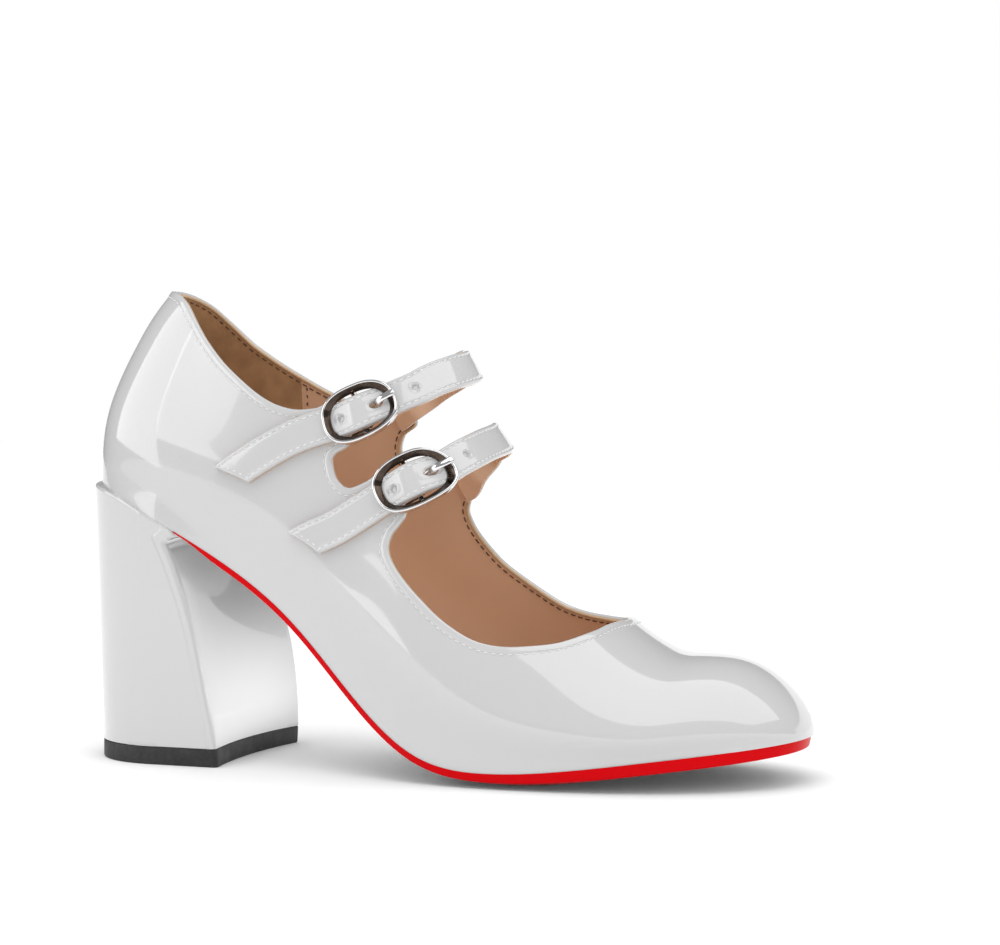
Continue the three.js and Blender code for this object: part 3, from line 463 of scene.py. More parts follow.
def new_piece(name, points, faces, sharp=None):
    """A closed object from points in millimetres and a list of arrays of faces. Doubles are
    merged and every shell is turned outwards; edges sharper than the angle in degrees stay
    crisp."""
    mesh = bpy.data.meshes.new(name)
    mesh.from_pydata((points + SHIFT) * MM, [], [face for part in faces for face in part.tolist()])
    work = bmesh.new()
    work.from_mesh(mesh)
    bmesh.ops.remove_doubles(work, verts=work.verts, dist=2e-6)
    bmesh.ops.recalc_face_normals(work, faces=work.faces)
    work.to_mesh(mesh)
    work.free()
    mesh.polygons.foreach_set("use_smooth", [True] * len(mesh.polygons))
    if sharp is not None:
        mesh.set_sharp_from_angle(angle=math.radians(sharp))
    piece = bpy.data.objects.new(name, mesh)
    bpy.context.scene.collection.objects.link(piece)
    return piece


FINISHES = {}


def dress(piece, material, slot, *nodes):
    """Gives a piece its material, hangs it under the root body and hides the imported nodes it stands
    for. The slot is not used.
    """
    piece.data.materials.append(FINISHES[material])
    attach(piece, "root")
    if nodes:
        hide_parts(*nodes)
    return piece


def swept(profile_points):
    """Points and faces of closed profiles (rows) that follow a closed path."""
    rows, columns = profile_points.shape[:2]
    return profile_points.reshape(-1, 3), [grid_quads(rows, columns, True, True)]


def capped(rings):
    """Points and faces of a body of rings, its two ends closed by the ends' own polygons."""
    rows, columns = rings.shape[:2]
    side = grid_quads(rows, columns, False, True)
    first = np.arange(columns)[None, :]
    return rings.reshape(-1, 3), [side, first, first + (rows - 1) * columns]


def tube_rings(path, side, across, along, sides):
    """Rings of an oval section round an open path: side gives the section's first axis, across
    and along its half-sizes on that axis and square to it."""
    forward = unit(np.gradient(path, axis=0))
    first = unit(side - forward * np.sum(forward * side, axis=-1, keepdims=True))
    second = np.cross(forward, first)
    angle = 2 * math.pi * (np.arange(sides) + 0.5) / sides
    wide = first[:, None] * np.cos(angle)[None, :, None] * np.reshape(across, (-1, 1, 1))
    tall = second[:, None] * np.sin(angle)[None, :, None] * np.reshape(along, (-1, 1, 1))
    return path[:, None] + wide + tall


def thread_mesh(points, forward, normal, length, radius):
    """Stitches: each a six-sided rod along forward whose ends dive into the leather."""
    reach = np.array([-1, -0.8, -0.35, 0.35, 0.8, 1]) * length / 2
    girth = np.array([0.45, 0.85, 1, 1, 0.85, 0.45]) * radius
    lift = np.array([-1.1, -0.2, 0.35, 0.35, -0.2, -1.1]) * radius
    angle = 2 * math.pi * np.arange(6) / 6
    forward = unit(forward)
    side = unit(np.cross(normal, forward))
    wide = 1.2 * girth[:, None] * np.cos(angle)
    tall = lift[:, None] + girth[:, None] * np.sin(angle)
    local = np.stack(np.broadcast_arrays(reach[:, None], wide, tall), axis=-1).reshape(-1, 3)
    axes = np.stack([forward, side, unit(normal)], axis=1)
    cloud = points[:, None] + np.einsum("vk,nkd->nvd", local, axes)
    count = len(points)
    start = (np.arange(count) * len(local))[:, None, None]
    quads = (grid_quads(6, 6, False, True)[None] + start).reshape(-1, 4)
    ends = np.stack([np.arange(6), np.arange(6) + 30])
    return cloud.reshape(-1, 3), [quads, (ends[None] + start).reshape(-1, 6)]


def walk(path, pitch, normals):
    """Points spaced evenly along a polyline, with the directions and the normals there."""
    run = run_along(path)
    count = max(int(round(run[-1] / pitch)), 1)
    at = (np.arange(count) + 0.5) * run[-1] / count

    def look_up(values, where):
        return np.stack([np.interp(where, run, values[:, k]) for k in range(3)], axis=-1)

    forward = unit(look_up(path, at + 0.3) - look_up(path, at - 0.3))
    return look_up(path, at), forward, unit(look_up(normals, at))


def joined(parts):
    """Several bodies as one list of points and faces."""
    points, faces, start = [], [], 0
    for cloud, lists in parts:
        points.append(cloud)
        faces += [part + start for part in lists]
        start += len(cloud)
    return np.concatenate(points), faces


def plate(low, high, kept=None):
    """Closed slab between two grids of points. Cells that aren't kept leave holes, and every
    open edge of the cells gets a wall."""
    rows, columns = low.shape[:2]
    count = rows * columns
    quads = grid_quads(rows, columns)
    if kept is not None:
        quads = quads[kept.ravel()]
    edges = np.concatenate([quads[:, [k, (k + 1) % 4]] for k in range(4)])
    lone = ~np.isin(edges[:, 0] * count + edges[:, 1], edges[:, 1] * count + edges[:, 0])
    edges = edges[lone]
    walls = np.stack([edges[:, 1], edges[:, 0], edges[:, 0] + count, edges[:, 1] + count], axis=-1)
    points = np.concatenate([low.reshape(-1, 3), high.reshape(-1, 3)])
    return points, [quads[:, ::-1], quads + count, walls]


def crowded(count):
    """Values from 0 to 1 that crowd at both ends: (1 - cos t) / 2."""
    return (1 - np.cos(math.pi * np.arange(count + 1) / count)) / 2


def across_row(count):
    """Values from -1 to 1 that crowd at both ends: the sine of even angles."""
    return np.sin(np.linspace(-math.pi / 2, math.pi / 2, count))


def round_off(distance, radius):
    """How far a surface falls at a distance from its rounded edge: r - sqrt(r^2 - (r - d)^2)."""
    inside = np.clip(radius - distance, 0, radius)
    return radius - np.sqrt(radius**2 - inside**2)


# ---------------------------------------------------------------- upper, linings and topline
UPPER_COLUMNS, UPPER_ROWS = 8, 46   # columns for each row of the top edge's table, and rows


def ripple(points, height):
    """Slow waves of drawn leather: three crossing sine waves of the place."""
    x, y, z = points[..., 0], points[..., 1], points[..., 2]
    waves = np.sin(x / 9 + z / 13) + np.sin(y / 7 - x / 15 + 1.3) + np.sin(z / 6 + y / 17 + 2.1)
    return height * waves / 3


SEAM = (5.1, 2.0)          # loop coordinate of the lining's seam at the top, and its slant
# Linings: shares of the wall's height and their number, columns round the shoe, how much the
# suede's nap adds, overlap at the seam in loop, and the shares of the seam's stitches.
LINING = {"shares": (0.015, 0.992, 40), "counter_columns": 121, "front_columns": 361,
          "nap": 0.12, "overlap": 0.05, "seam_shares": (0.35, 0.965, 200)}
EDGE_THREAD = (1.75, 0.16, 2.5, 1.7, 0.17)    # below the edge, proud, pitch, length, radius
SEAM_THREAD = (0.2, 0.04, 2.3, 1.1, 0.2)      # beside the seam in loop, then as above
TOPLINE_THREAD = (2.15, 0.03, 0.8)            # below the edge, proud, share of the thread's radius
FOLD_STEP, BINDING_STEP = 0.7, 0.8            # spacing of the two profiles along the edge


def seam_loop(share):
    """Loop coordinate of the seam between the linings at a share of the wall's height."""
    return SEAM[0] + SEAM[1] * (1 - share)


def lining_shell(loops, shares, depth, thickness):
    """Closed slab of a lining over a grid of loop coordinates, inside the wall by depth."""
    base, normal = wall(loops, shares), wall_normal(loops, shares)
    return plate(base - normal * (depth + thickness), base - normal * depth)


def topline_profile(loops, profile):
    """Closed profile carried along the top edge: each of its points lies a distance below the
    edge (negative above it) and a height outside the wall."""
    rings = []
    for distance, out in profile:
        point, normal = from_edge(loops, np.full_like(loops, distance))
        rings.append(point + normal * out)
    return np.stack(rings, axis=1)


# Profiles of the topline: distance below the edge, and height outside the wall.
FOLD = ((1.95, -0.25), (1.95, 0.06), (1.8, 0.17), (1.3, 0.2), (0.7, 0.22), (0.25, 0.18),
        (0.0, 0.02), (-0.14, -0.3), (-0.16, -0.75), (-0.05, -1.15), (0.3, -1.2), (0.35, -0.6))
BINDING = ((0.1, -1.0), (-0.05, -1.35), (-0.02, -1.7), (0.2, -1.93), (0.6, -1.95),
           (0.85, -1.8), (0.9, -1.5), (0.6, -1.1))


def edge_stitches(distance, out, pitch, length, radius):
    """Stitches that follow the top edge at a distance below it."""
    loops = edge_loop(0.6, distance)
    loops = np.append(loops, loops[0] + 2 * THROAT)
    path, normal = from_edge(loops, np.full_like(loops, distance))
    sign = math.copysign(1.0, out)
    points, forward, facing = walk(path + normal * out, pitch, normal * sign)
    return thread_mesh(points, forward, facing, length, radius)


# ---------------------------------------------------------------- sole, sock and heel
def outline_point(station, across, grow):
    """Plan of the feather line, moved outwards by grow: stations stretch about the middle and
    the half-width swells in proportion."""
    middle = (BACK + TOE) / 2
    side = np.where(across < 0, -1.0, 1.0)
    swing = toe_swing(station)
    edge = last_point(np.clip(station, BACK, TOE), np.zeros_like(station), side)[..., 1]
    x = middle + (station - middle) * (1 + grow / (middle - BACK))
    return x, swing + (edge - swing) * (1 + grow / SOLE_RIM[2]) * np.abs(across)


def sole_point(u, v, level, inset, lift):
    """Outsole: level 0 is its crowned underside and 1 its top under the upper; inset and lift
    round its lower edge. It is skived thin towards its rear end."""
    grow = SOLE_RIM[0] - SOLE_RIM[1] * (1 - level) - inset
    x, y = outline_point(SOLE_REAR + (TOE - SOLE_REAR) * u, v, grow)
    x = x - SOLE_TIP[0] * smooth((x - SOLE_TIP[1]) / (TOE - SOLE_TIP[1]))
    top = feather(x) - GAP
    crown = sole_crown(x) * (1 - smooth((x - CROWN_END) / (TOE - CROWN_END)))
    skive = 1 - SOLE_SKIVE[0] * (1 - smooth((x - SOLE_REAR) / SOLE_SKIVE[1]))
    low = np.maximum(top - (sole_edge(x) + crown * (1 - np.abs(v) ** 3)) * skive, 0)
    lift = np.minimum(lift, 0.4 * sole_edge(x) * skive)
    z = low + lift + (top + 0.32 - low - lift) * level
    return np.stack([x, y, z], axis=-1)


def stacked(place, us, vs, rows):
    """Closed body over a plan: the first row is its underside, the last its top, and all the
    rows together form its side wall. place(u, v, *row) gives the points."""
    u, v = np.meshgrid(us, vs, indexing="ij")
    rim_u = np.concatenate([us, np.ones(len(vs) - 1), us[-2::-1], np.zeros(len(vs) - 2)])
    rim_v = np.concatenate([-np.ones(len(us)), vs[1:], np.ones(len(us) - 1), vs[-2:0:-1]])
    low, high = place(u, v, *rows[0]), place(u, v, *rows[-1])
    rim = np.stack([place(rim_u, rim_v, *row) for row in rows])
    count = low.shape[0] * low.shape[1]
    quads = grid_quads(*low.shape[:2])
    side = grid_quads(len(rows), len(rim_u), False, True) + 2 * count
    points = np.concatenate([low.reshape(-1, 3), high.reshape(-1, 3), rim.reshape(-1, 3)])
    return points, [quads[:, ::-1], quads + count, side]


def sock_point(u, v, level, inset):
    """Insole sock: a flat slab in the shoe with a domed pad and a pressed line round it."""
    x, y = outline_point(BACK + (TOE - BACK) * u, v, -SOCK[0] - inset)
    border = np.minimum(half_width(x, np.sign(v) + (v == 0)) * (1 - np.abs(v)),
                        np.minimum((x - BACK) * 0.6, (TOE - x) * 0.6))
    depth, place, width = SOCK_LINE
    pressed = depth * bump(border, place, width)
    high, start, fade, front, front_fade = SOCK_PAD
    pad = high * smooth((border - start) / fade) * smooth((front - x) / front_fade)
    z = feather(x) + SOCK[1] + SOCK[2] * level + level * (pad - pressed)
    return np.stack([x, y, z], axis=-1)


def heel_point(u, v, z, level, inset):
    """Plan of the heel at a height: a D with a round back, a hollow front and eased corners."""
    h = HEEL
    back = h["back_low"] + (h["back_top"] - h["back_low"]) * level
    scoop_fade = 1 - smooth((level - h["scoop_top"]) / (1 - h["scoop_top"]))
    scoop = h["scoop"] * (1 - v * v) * scoop_fade
    lip = h["lip"] * smooth((level - h["lip_from"]) / (1 - h["lip_from"]))
    turn = h["turn"] * np.sin(math.pi * np.clip(z / h["turn_height"], 0, 1)) * (v + 1) / 2
    hollow = scoop * smooth((u - h["scoop_from"]) / (1 - h["scoop_from"]))
    edge = breast(z) + lip + turn * (1 - smooth(level) ** 4)
    x = back + (edge - hollow - back) * u
    seat = np.abs(outline_point(np.clip(x, BACK, h["seat_front"]), np.sign(v) + (v == 0), 0)[1])
    round_ = quadrant((back + h["reach"] - x) / h["reach"], PLAN_BACK[1])
    seat = np.maximum(seat + h["rim"], h["waist"] * round_)
    wide = h["half_width"] * round_ + (seat - h["half_width"] * round_) * smooth(level)
    wide = np.minimum(wide, h["half_width"] * round_)
    wide = wide - round_off((1 - u) * (edge - back), h["corner"]) - inset
    x = x + inset * (1 - 2 * smooth(u))
    return np.stack([x, v * np.maximum(wide, 0), z], axis=-1)


def heel_cover_point(u, v, level, inset):
    """Heel from the lift to its seat. The height is found by a few passes, since the seat's
    own height depends on the station. A thin ridge of the wrapped cover runs along the breast
    on the lateral side."""
    low = TOP_LIFT + 0.05
    z = np.full_like(u, low)
    levels = np.full_like(u, level)
    for _ in range(HEEL_PASSES):
        x = heel_point(u, v, z, levels, inset)[..., 0]
        z = low + (feather(x) + 0.15 - low) * level
    point = heel_point(u, v, z, levels, inset)
    front = (1 - u) * (breast(z) - HEEL["back_low"])
    height, place, width = HEEL_RIDGE
    point[..., 1] += height * bump(front, place, width) * (v <= -0.999)
    return point


def lift_point(u, v, z, inset):
    """Top lift: the heel's own plan at its foot."""
    return heel_point(u, v, np.full_like(u, z), np.zeros_like(u), inset)


SOLE_ROUND = 0.55          # radius of the sole's lower edge
# Rows of the bodies built over a plan. Sock and heel: level and inset; lift: height and inset.
SOCK_ROWS = ((0.0, 0.3), (0.15, 0.05), (0.5, 0.0), (0.85, 0.03), (1.0, 0.15))
HEEL_FOOT_ROWS = ((0.0, 0.2), (0.003, 0.0))
HEEL_SEAT_ROWS = ((0.995, 0.05), (0.999, 0.25), (1.0, 0.5))
LIFT_ROWS = ((0.0, 0.45), (0.12, 0.12), (0.45, 0.0), (4.8, 0.0), (5.12, 0.08), (TOP_LIFT, 0.3))


# ---------------------------------------------------------------- straps
HOLE_SQUARE, HOLE_REACH = 0.6, 2.9       # half-size of the cut cells, and of the bent grid
HOLE_RIM = (0.16, 0.42, 0.28)            # raised ring: height, distance from the hole, width
HOLE_DIP = (0.2, 0.3, 0.75, 0.2)         # depth and fade of its edge, then of its floor
EDGE_RADIUS = 0.75
STRAP_RIM, GROOVE, PILLOW = (0.12, 0.7, 0.35), (0.2, 0.26), 0.12
BACKING = {"low": -0.25, "high": 0.52, "inset": 0.12}     # levels over the strap's underside
PATENT = {"low": 0.5, "radius": 0.25, "least": 0.2}       # the same for the layer on top
STRAP_STITCH = 1.25                      # distance of a strap's stitches from its edge


def strap_holes(space):
    """The strap's holes as run, radius and stretch along the strap, and whether it is open:
    the prong's slot is, and the punched holes end on the strap's core."""
    slot = space["bar"] + PRONG["hole"]
    return ((slot, PRONG["slot"], PRONG["stretch"], True),
            (slot - HOLE["behind"], HOLE["radius"], 1.0, False),
            (slot + HOLE["ahead"], HOLE["radius"], 1.0, False))


def strap_grid(space):
    """Grid of run and across whose squares round each hole bend into circles: between a
    square's edge and the hole, points move from the square towards the circle."""
    half = STRAP["width"] / 2
    inner = np.linspace(-HOLE_SQUARE, HOLE_SQUARE, 7)
    outer = np.linspace(HOLE_SQUARE, HOLE_REACH, 6)[1:]
    edge = half - (half - HOLE_REACH) * np.linspace(0, 1, 13)[:-1] ** 1.35
    across = np.concatenate([-edge, -outer[::-1], inner, outer, edge[::-1]])
    local = np.concatenate([-outer[::-1], inner, outer])
    runs, blocks = [], []
    for run, _, stretch, _ in strap_holes(space):
        blocks.append(run + stretch * local)
    taken = sorted((block[0], block[-1]) for block in blocks)
    marks = [0.0] + [value for pair in taken for value in pair] + [space["length"] - STRAP["trim"]]
    for k in range(0, len(marks), 2):
        count = max(int((marks[k + 1] - marks[k]) / 0.9), 2)
        runs.append(np.linspace(marks[k], marks[k + 1], count + 1)[1:-1])
    start = np.array([0, 0.08, 0.2, 0.35, 0.5, 0.65, 0.8])
    runs = np.unique(np.concatenate(runs + blocks + [start, marks[-1:]]).round(6))
    run, wide = np.meshgrid(runs, across, indexing="ij")
    middle_run = (runs[1:, None] + runs[:-1, None]) / 2 + 0 * across[None, 1:]
    middle_wide = (across[1:] + across[:-1])[None] / 2 + 0 * middle_run
    kept = np.ones_like(middle_run, bool)
    ring = np.zeros_like(run)
    for at, radius, stretch, is_open in strap_holes(space):
        a, b = (run - at) / stretch, wide.copy()
        size = np.maximum(np.abs(a), np.abs(b))
        near = (size < HOLE_REACH - 1e-6) & (size > 1e-6)
        share = np.clip((size - HOLE_SQUARE) / (HOLE_REACH - HOLE_SQUARE), 0, 1)
        length = np.maximum(np.hypot(a, b), 1e-9)
        disc = radius / length * np.minimum(size / HOLE_SQUARE, 1)
        scale = disc * (1 - share) + HOLE_REACH / np.maximum(size, 1e-9) * share
        run = np.where(near, at + a * scale * stretch, run)
        wide = np.where(near, b * scale, wide)
        beyond = np.where(near, np.hypot(a, b) * scale, length) - radius
        beyond = np.where(size > 1e-6, beyond, -radius)
        ring = ring + HOLE_RIM[0] * bump(beyond, *HOLE_RIM[1:])
        ring = ring - HOLE_DIP[0] * smooth(1 - beyond / HOLE_DIP[1])
        ring = ring - HOLE_DIP[2] * smooth(-beyond / HOLE_DIP[3])
        cell = np.maximum(np.abs(middle_run - at) / stretch, np.abs(middle_wide))
        kept &= (cell > HOLE_SQUARE) | (not is_open)
    return run, wide, kept, ring


def strap_top(run, across):
    """Height of the patent face: its edges rounded, a raised rim, and a groove under the
    stitches, all by the distance from the nearest edge."""
    half = STRAP["width"] / 2
    slope = math.hypot(1, STRAP["slant"])
    distance = np.minimum(half - np.abs(across), run / slope)
    rim = STRAP_RIM[0] * bump(distance, *STRAP_RIM[1:])
    rim = rim - GROOVE[0] * bump(distance, STRAP_STITCH, GROOVE[1])
    pillow = PILLOW * (1 - (across / half) ** 2)
    return STRAP["thickness"] + rim + pillow - round_off(distance, EDGE_RADIUS)


def strap_piece(space, backing):
    """The patent layer of a strap, or the thin lining layer under it."""
    run, across, kept, ring = strap_grid(space)
    inset = BACKING["inset"] if backing else 0.0
    half = STRAP["width"] / 2
    across = across * (1 - inset / half)
    run = run + inset * (1 - smooth(run / 3))
    if backing:
        low, high = np.full_like(run, BACKING["low"]), np.full_like(run, BACKING["high"])
    else:
        distance = np.minimum(half - np.abs(across), run)
        low = PATENT["low"] + round_off(distance, PATENT["radius"])
        high = np.maximum(strap_top(run, across) + ring, low + PATENT["least"])
    return plate(on_strap(space, run, across, low), on_strap(space, run, across, high), kept)


def strap_stitches(space, pitch, length, radius):
    """Stitches along both edges of a strap and its slanted end, a set distance inside."""
    half = STRAP["width"] / 2 - STRAP_STITCH
    first = STRAP_STITCH * math.hypot(1, STRAP["slant"])
    last = space["ear"] + 2
    fine = 300
    runs = np.concatenate([np.linspace(last, first, fine), np.full(40, first),
                           np.linspace(first, last, fine)])
    wides = np.concatenate([np.full(fine, half), np.linspace(half, -half, 42)[1:-1],
                            np.full(fine, -half)])
    level = strap_top(runs, wides)
    path = on_strap(space, runs, wides, level + 0.02)
    normal = unit(on_strap(space, runs, wides, level + 1) - path)
    points, forward, facing = walk(path, pitch, normal)
    return thread_mesh(points, forward, facing, length, radius)


# ---------------------------------------------------------------- buckles and elastic
# Each profile: distance inside the buckle's outer oval, and height over the ring's middle.
LIP = ((0.25, -1.15), (0.02, -0.85), (0.0, 0.3), (0.1, 0.85), (0.3, 1.15), (0.55, 1.22),
       (0.75, 1.1), (0.85, 0.8), (0.8, -0.9), (0.6, -1.15))
BEVEL = ((0.6, 1.02), (0.78, 1.0), (1.1, 0.55), (1.55, -0.05), (2.0, -0.6), (2.15, -0.85),
         (2.1, -1.08), (1.8, -1.2), (0.6, -1.2))


def oval_ring(space, profile):
    """Closed profile carried round the buckle's superellipse |x/a|^p + |y/b|^p = 1."""
    angle = 2 * math.pi * np.arange(BUCKLE["steps"]) / BUCKLE["steps"]
    power = 2 / BUCKLE["power"]
    bow_x = np.sign(np.cos(angle)) * np.abs(np.cos(angle)) ** power
    bow_y = np.sign(np.sin(angle)) * np.abs(np.sin(angle)) ** power
    inside, height = np.array(profile).T
    x = (BUCKLE["length"] / 2 - inside)[None] * bow_x[:, None]
    y = (BUCKLE["width"] / 2 - inside)[None] * bow_y[:, None]
    return strap_place(space, space["bar"] + x, y, BUCKLE["level"] + height[None] + 0 * x)


def smooth_route(route, steps):
    """Points of a route on one smooth Catmull-Rom curve."""
    at = np.linspace(0, len(route) - 1, steps)
    return np.stack([between(column, at) for column in zip(*route)], axis=-1)


def by_bar(space, points):
    """Points given by their run from the bar, across and out, placed on the shoe."""
    return strap_place(space, space["bar"] + points[..., 0], points[..., 1], points[..., 2])


def bar_body(space):
    """The bar: a round rod that drops from the ring on both sides and runs under the strap."""
    wide = BUCKLE["width"] / 2 - 0.85
    drop = [(wide, BUCKLE["level"] - 0.3), (wide - 0.35, 2.6), (wide - 1.2, 0.7),
            (wide - BAR["end"] + 0.4, BAR["level"]), (wide - 4.6, BAR["level"])]
    route = [(0.0, -y, z) for y, z in drop] + [(0.0, y, z) for y, z in drop[::-1]]
    path = smooth_route(route, 61)
    rings = tube_rings(path, np.array([1.0, 0, 0]), BAR["radius"], BAR["radius"], 16)
    return by_bar(space, rings)


def prong_body(space):
    """The prong: a rod wrapped round the bar that climbs through the slot and flattens
    towards its rounded tip on the ring."""
    turn = BAR["radius"] + 0.1 + PRONG["radius"]
    angle = -math.pi / 3 - np.linspace(0, 7 * math.pi / 6, 9)
    over = BUCKLE["level"] + BUCKLE["height"] / 2 + PRONG["radius"] * 0.75
    tip = PRONG["tip"]
    route = [(turn * math.cos(a), 0.0, BAR["level"] + turn * math.sin(a)) for a in angle]
    route += [(1.9, 0.0, 1.3), (3.6, 0.0, 1.4), (5.0, 0.0, 2.7), (6.0, 0.0, 4.6),
              (7.3, 0.0, over - 0.2), (9.2, 0.0, over), (tip - 0.9, 0.0, over),
              (tip - 0.1, 0.0, over - 0.15)]
    path = smooth_route(route, 110)
    share = np.linspace(0, 1, 110)
    end = np.sqrt(np.clip(1 - np.clip((share - 0.972) / 0.03, 0, 0.999) ** 2, 0, 1))
    flat = smooth((share - 0.6) / 0.2)
    wide = PRONG["radius"] * (1 + 0.6 * flat) * end
    tall = PRONG["radius"] * (1 - 0.2 * flat) * end
    rings = tube_rings(path, np.array([0, 1.0, 0]), wide, tall, 18)
    return by_bar(space, rings)


def elastic_strip(space, low, high, route, ribs):
    """Ribbed band carried along a route beside the bar; its faces swell with every rib."""
    path = smooth_route(route, 64)
    tangent = unit(np.gradient(path, axis=0))
    square = np.stack([-tangent[:, 2], 0 * tangent[:, 0], tangent[:, 0]], axis=-1)
    count = int(ribs * 8) + 1
    y = np.linspace(low, high, count)
    swell = 0.34 + 0.11 * np.abs(np.sin(math.pi * ribs * np.linspace(0, 1, count)))
    swell[[0, -1]] = 0.12
    middle = path[:, None] + np.array([0, 1.0, 0]) * y[None, :, None]
    swelling = square[:, None] * swell[None, :, None]
    return plate(by_bar(space, middle - swelling), by_bar(space, middle + swelling))


# ---------------------------------------------------------------- finishes
def new_group(name, inputs, outputs):
    """An empty shader node group with its sockets: name and kind, and a default for inputs."""
    group = bpy.data.node_groups.new(name, "ShaderNodeTree")
    for label, kind, default in inputs:
        socket = group.interface.new_socket(label, in_out="INPUT", socket_type=f"NodeSocket{kind}")
        if default is not None:
            socket.default_value = default
    for label, kind in outputs:
        group.interface.new_socket(label, in_out="OUTPUT", socket_type=f"NodeSocket{kind}")
    return group, group.nodes.new("NodeGroupInput"), group.nodes.new("NodeGroupOutput")


def add_node(tree, kind, settings=None, **values):
    """A node with some of its settings and unlinked inputs given."""
    node = tree.nodes.new(kind)
    for key, value in (settings or {}).items():
        setattr(node, key, value)
    for key, value in values.items():
        node.inputs[key].default_value = value
    return node


def noise_node(tree, scale, detail=4.0, rough=0.55):
    return add_node(tree, "ShaderNodeTexNoise", Scale=scale, Detail=detail, Roughness=rough)


def range_node(tree, low, high, start=0.0, end=1.0):
    node = tree.nodes.new("ShaderNodeMapRange")
    for key, value in (("From Min", start), ("From Max", end), ("To Min", low), ("To Max", high)):
        node.inputs[key].default_value = value
    return node


def wire(tree, *links):
    """Links nodes: each link is a node, its output, another node and its input."""
    for source, output, target, entry in links:
        tree.links.new(source.outputs[output], target.inputs[entry])


def build_groups():
    """Groups shared by the finishes: tone (slow change of colour), handling (uneven gloss) and
    grain (cells and pores of leather as a height)."""
    tree, enter, leave = new_group(
        "tone", (("Vector", "Vector", None), ("Color", "Color", (0.8, 0.8, 0.8, 1)),
                 ("Shade", "Color", (0.7, 0.7, 0.7, 1)), ("Scale", "Float", 20.0),
                 ("Amount", "Float", 0.5)), (("Color", "Color"),))
    noise, mask = noise_node(tree, 1.0), range_node(tree, 0.0, 1.0, 0.35, 0.68)
    scale = add_node(tree, "ShaderNodeVectorMath", {"operation": "SCALE"})
    strength = add_node(tree, "ShaderNodeMath", {"operation": "MULTIPLY"})
    mix = add_node(tree, "ShaderNodeMix", {"data_type": "RGBA"})
    wire(tree, (enter, "Vector", scale, 0), (enter, "Scale", scale, "Scale"),
         (scale, 0, noise, "Vector"), (noise, "Fac", mask, "Value"), (mask, "Result", strength, 0),
         (enter, "Amount", strength, 1), (strength, 0, mix, "Factor"), (enter, "Color", mix, "A"),
         (enter, "Shade", mix, "B"), (mix, "Result", leave, "Color"))

    tree, enter, leave = new_group(
        "handling", (("Vector", "Vector", None), ("Low", "Float", 0.1), ("High", "Float", 0.3),
                     ("Scale", "Float", 60.0)), (("Roughness", "Float"),))
    scale = add_node(tree, "ShaderNodeVectorMath", {"operation": "SCALE"})
    noise, spread = noise_node(tree, 1.0, 6.0, 0.6), range_node(tree, 0.0, 1.0, 0.32, 0.7)
    mix = add_node(tree, "ShaderNodeMix", {"data_type": "FLOAT"})
    wire(tree, (enter, "Vector", scale, 0), (enter, "Scale", scale, "Scale"),
         (scale, 0, noise, "Vector"), (noise, "Fac", spread, "Value"),
         (spread, "Result", mix, "Factor"), (enter, "Low", mix, "A"), (enter, "High", mix, "B"),
         (mix, "Result", leave, "Roughness"))

    tree, enter, leave = new_group(
        "grain", (("Vector", "Vector", None), ("Cells", "Float", 1500.0), ("Pores", "Float", 4000.0),
                  ("Balance", "Float", 0.4)), (("Height", "Float"),))
    cells = add_node(tree, "ShaderNodeTexVoronoi", {"feature": "DISTANCE_TO_EDGE"})
    crease, pores = range_node(tree, 0.0, 1.0, 0.0, 0.25), noise_node(tree, 1.0, 3.0)
    mix = add_node(tree, "ShaderNodeMix", {"data_type": "FLOAT"})
    wire(tree, (enter, "Vector", cells, "Vector"), (enter, "Cells", cells, "Scale"),
         (enter, "Vector", pores, "Vector"), (enter, "Pores", pores, "Scale"),
         (cells, "Distance", crease, "Value"), (enter, "Balance", mix, "Factor"),
         (crease, "Result", mix, "A"), (pores, "Fac", mix, "B"), (mix, "Result", leave, "Height"))


def finish(name, color, shade, rough, grain=None, tone=(20.0, 0.5), patch=60.0, sockets=None):
    """A material: tone (scale and amount) over its colour, handling (its scale is patch) over
    its gloss between the two values of rough, and grain as bump (scale of the cells and of the
    pores, balance between them, strength, depth in millimetres)."""
    material = FINISHES[name] = bpy.data.materials.new(f"{name}_finish")
    material.use_nodes = True
    tree = material.node_tree
    shader = tree.nodes["Principled BSDF"]
    for key, value in (sockets or {}).items():
        shader.inputs[key].default_value = value
    place = tree.nodes.new("ShaderNodeTexCoord")
    values = {"tone": {"Color": (*color, 1), "Shade": (*shade, 1), "Scale": tone[0], "Amount": tone[1]},
              "handling": {"Low": rough[0], "High": rough[1], "Scale": patch}}
    if grain:
        cells, pores, balance, strength, depth = grain
        values["grain"] = {"Cells": cells, "Pores": pores, "Balance": balance}
    groups = {}
    for kind, given in values.items():
        groups[kind] = add_node(tree, "ShaderNodeGroup", {"node_tree": bpy.data.node_groups[kind]},
                                **given)
        wire(tree, (place, "Object", groups[kind], "Vector"))
    wire(tree, (groups["tone"], "Color", shader, "Base Color"),
         (groups["handling"], "Roughness", shader, "Roughness"))
    if grain:
        relief = add_node(tree, "ShaderNodeBump", Strength=strength, Distance=depth * MM)
        wire(tree, (groups["grain"], "Height", relief, "Height"), (relief, "Normal", shader, "Normal"))


# Painted bounce light of the sole: dark grey for diffuse rays is painted shade beside it, pale grey for
# glossy rays a painted reflection.
PAINTED_BOUNCE_GREYS = ((0.2, 0.195, 0.195, 1), (0.9, 0.89, 0.89, 1))    # for diffuse and glossy rays


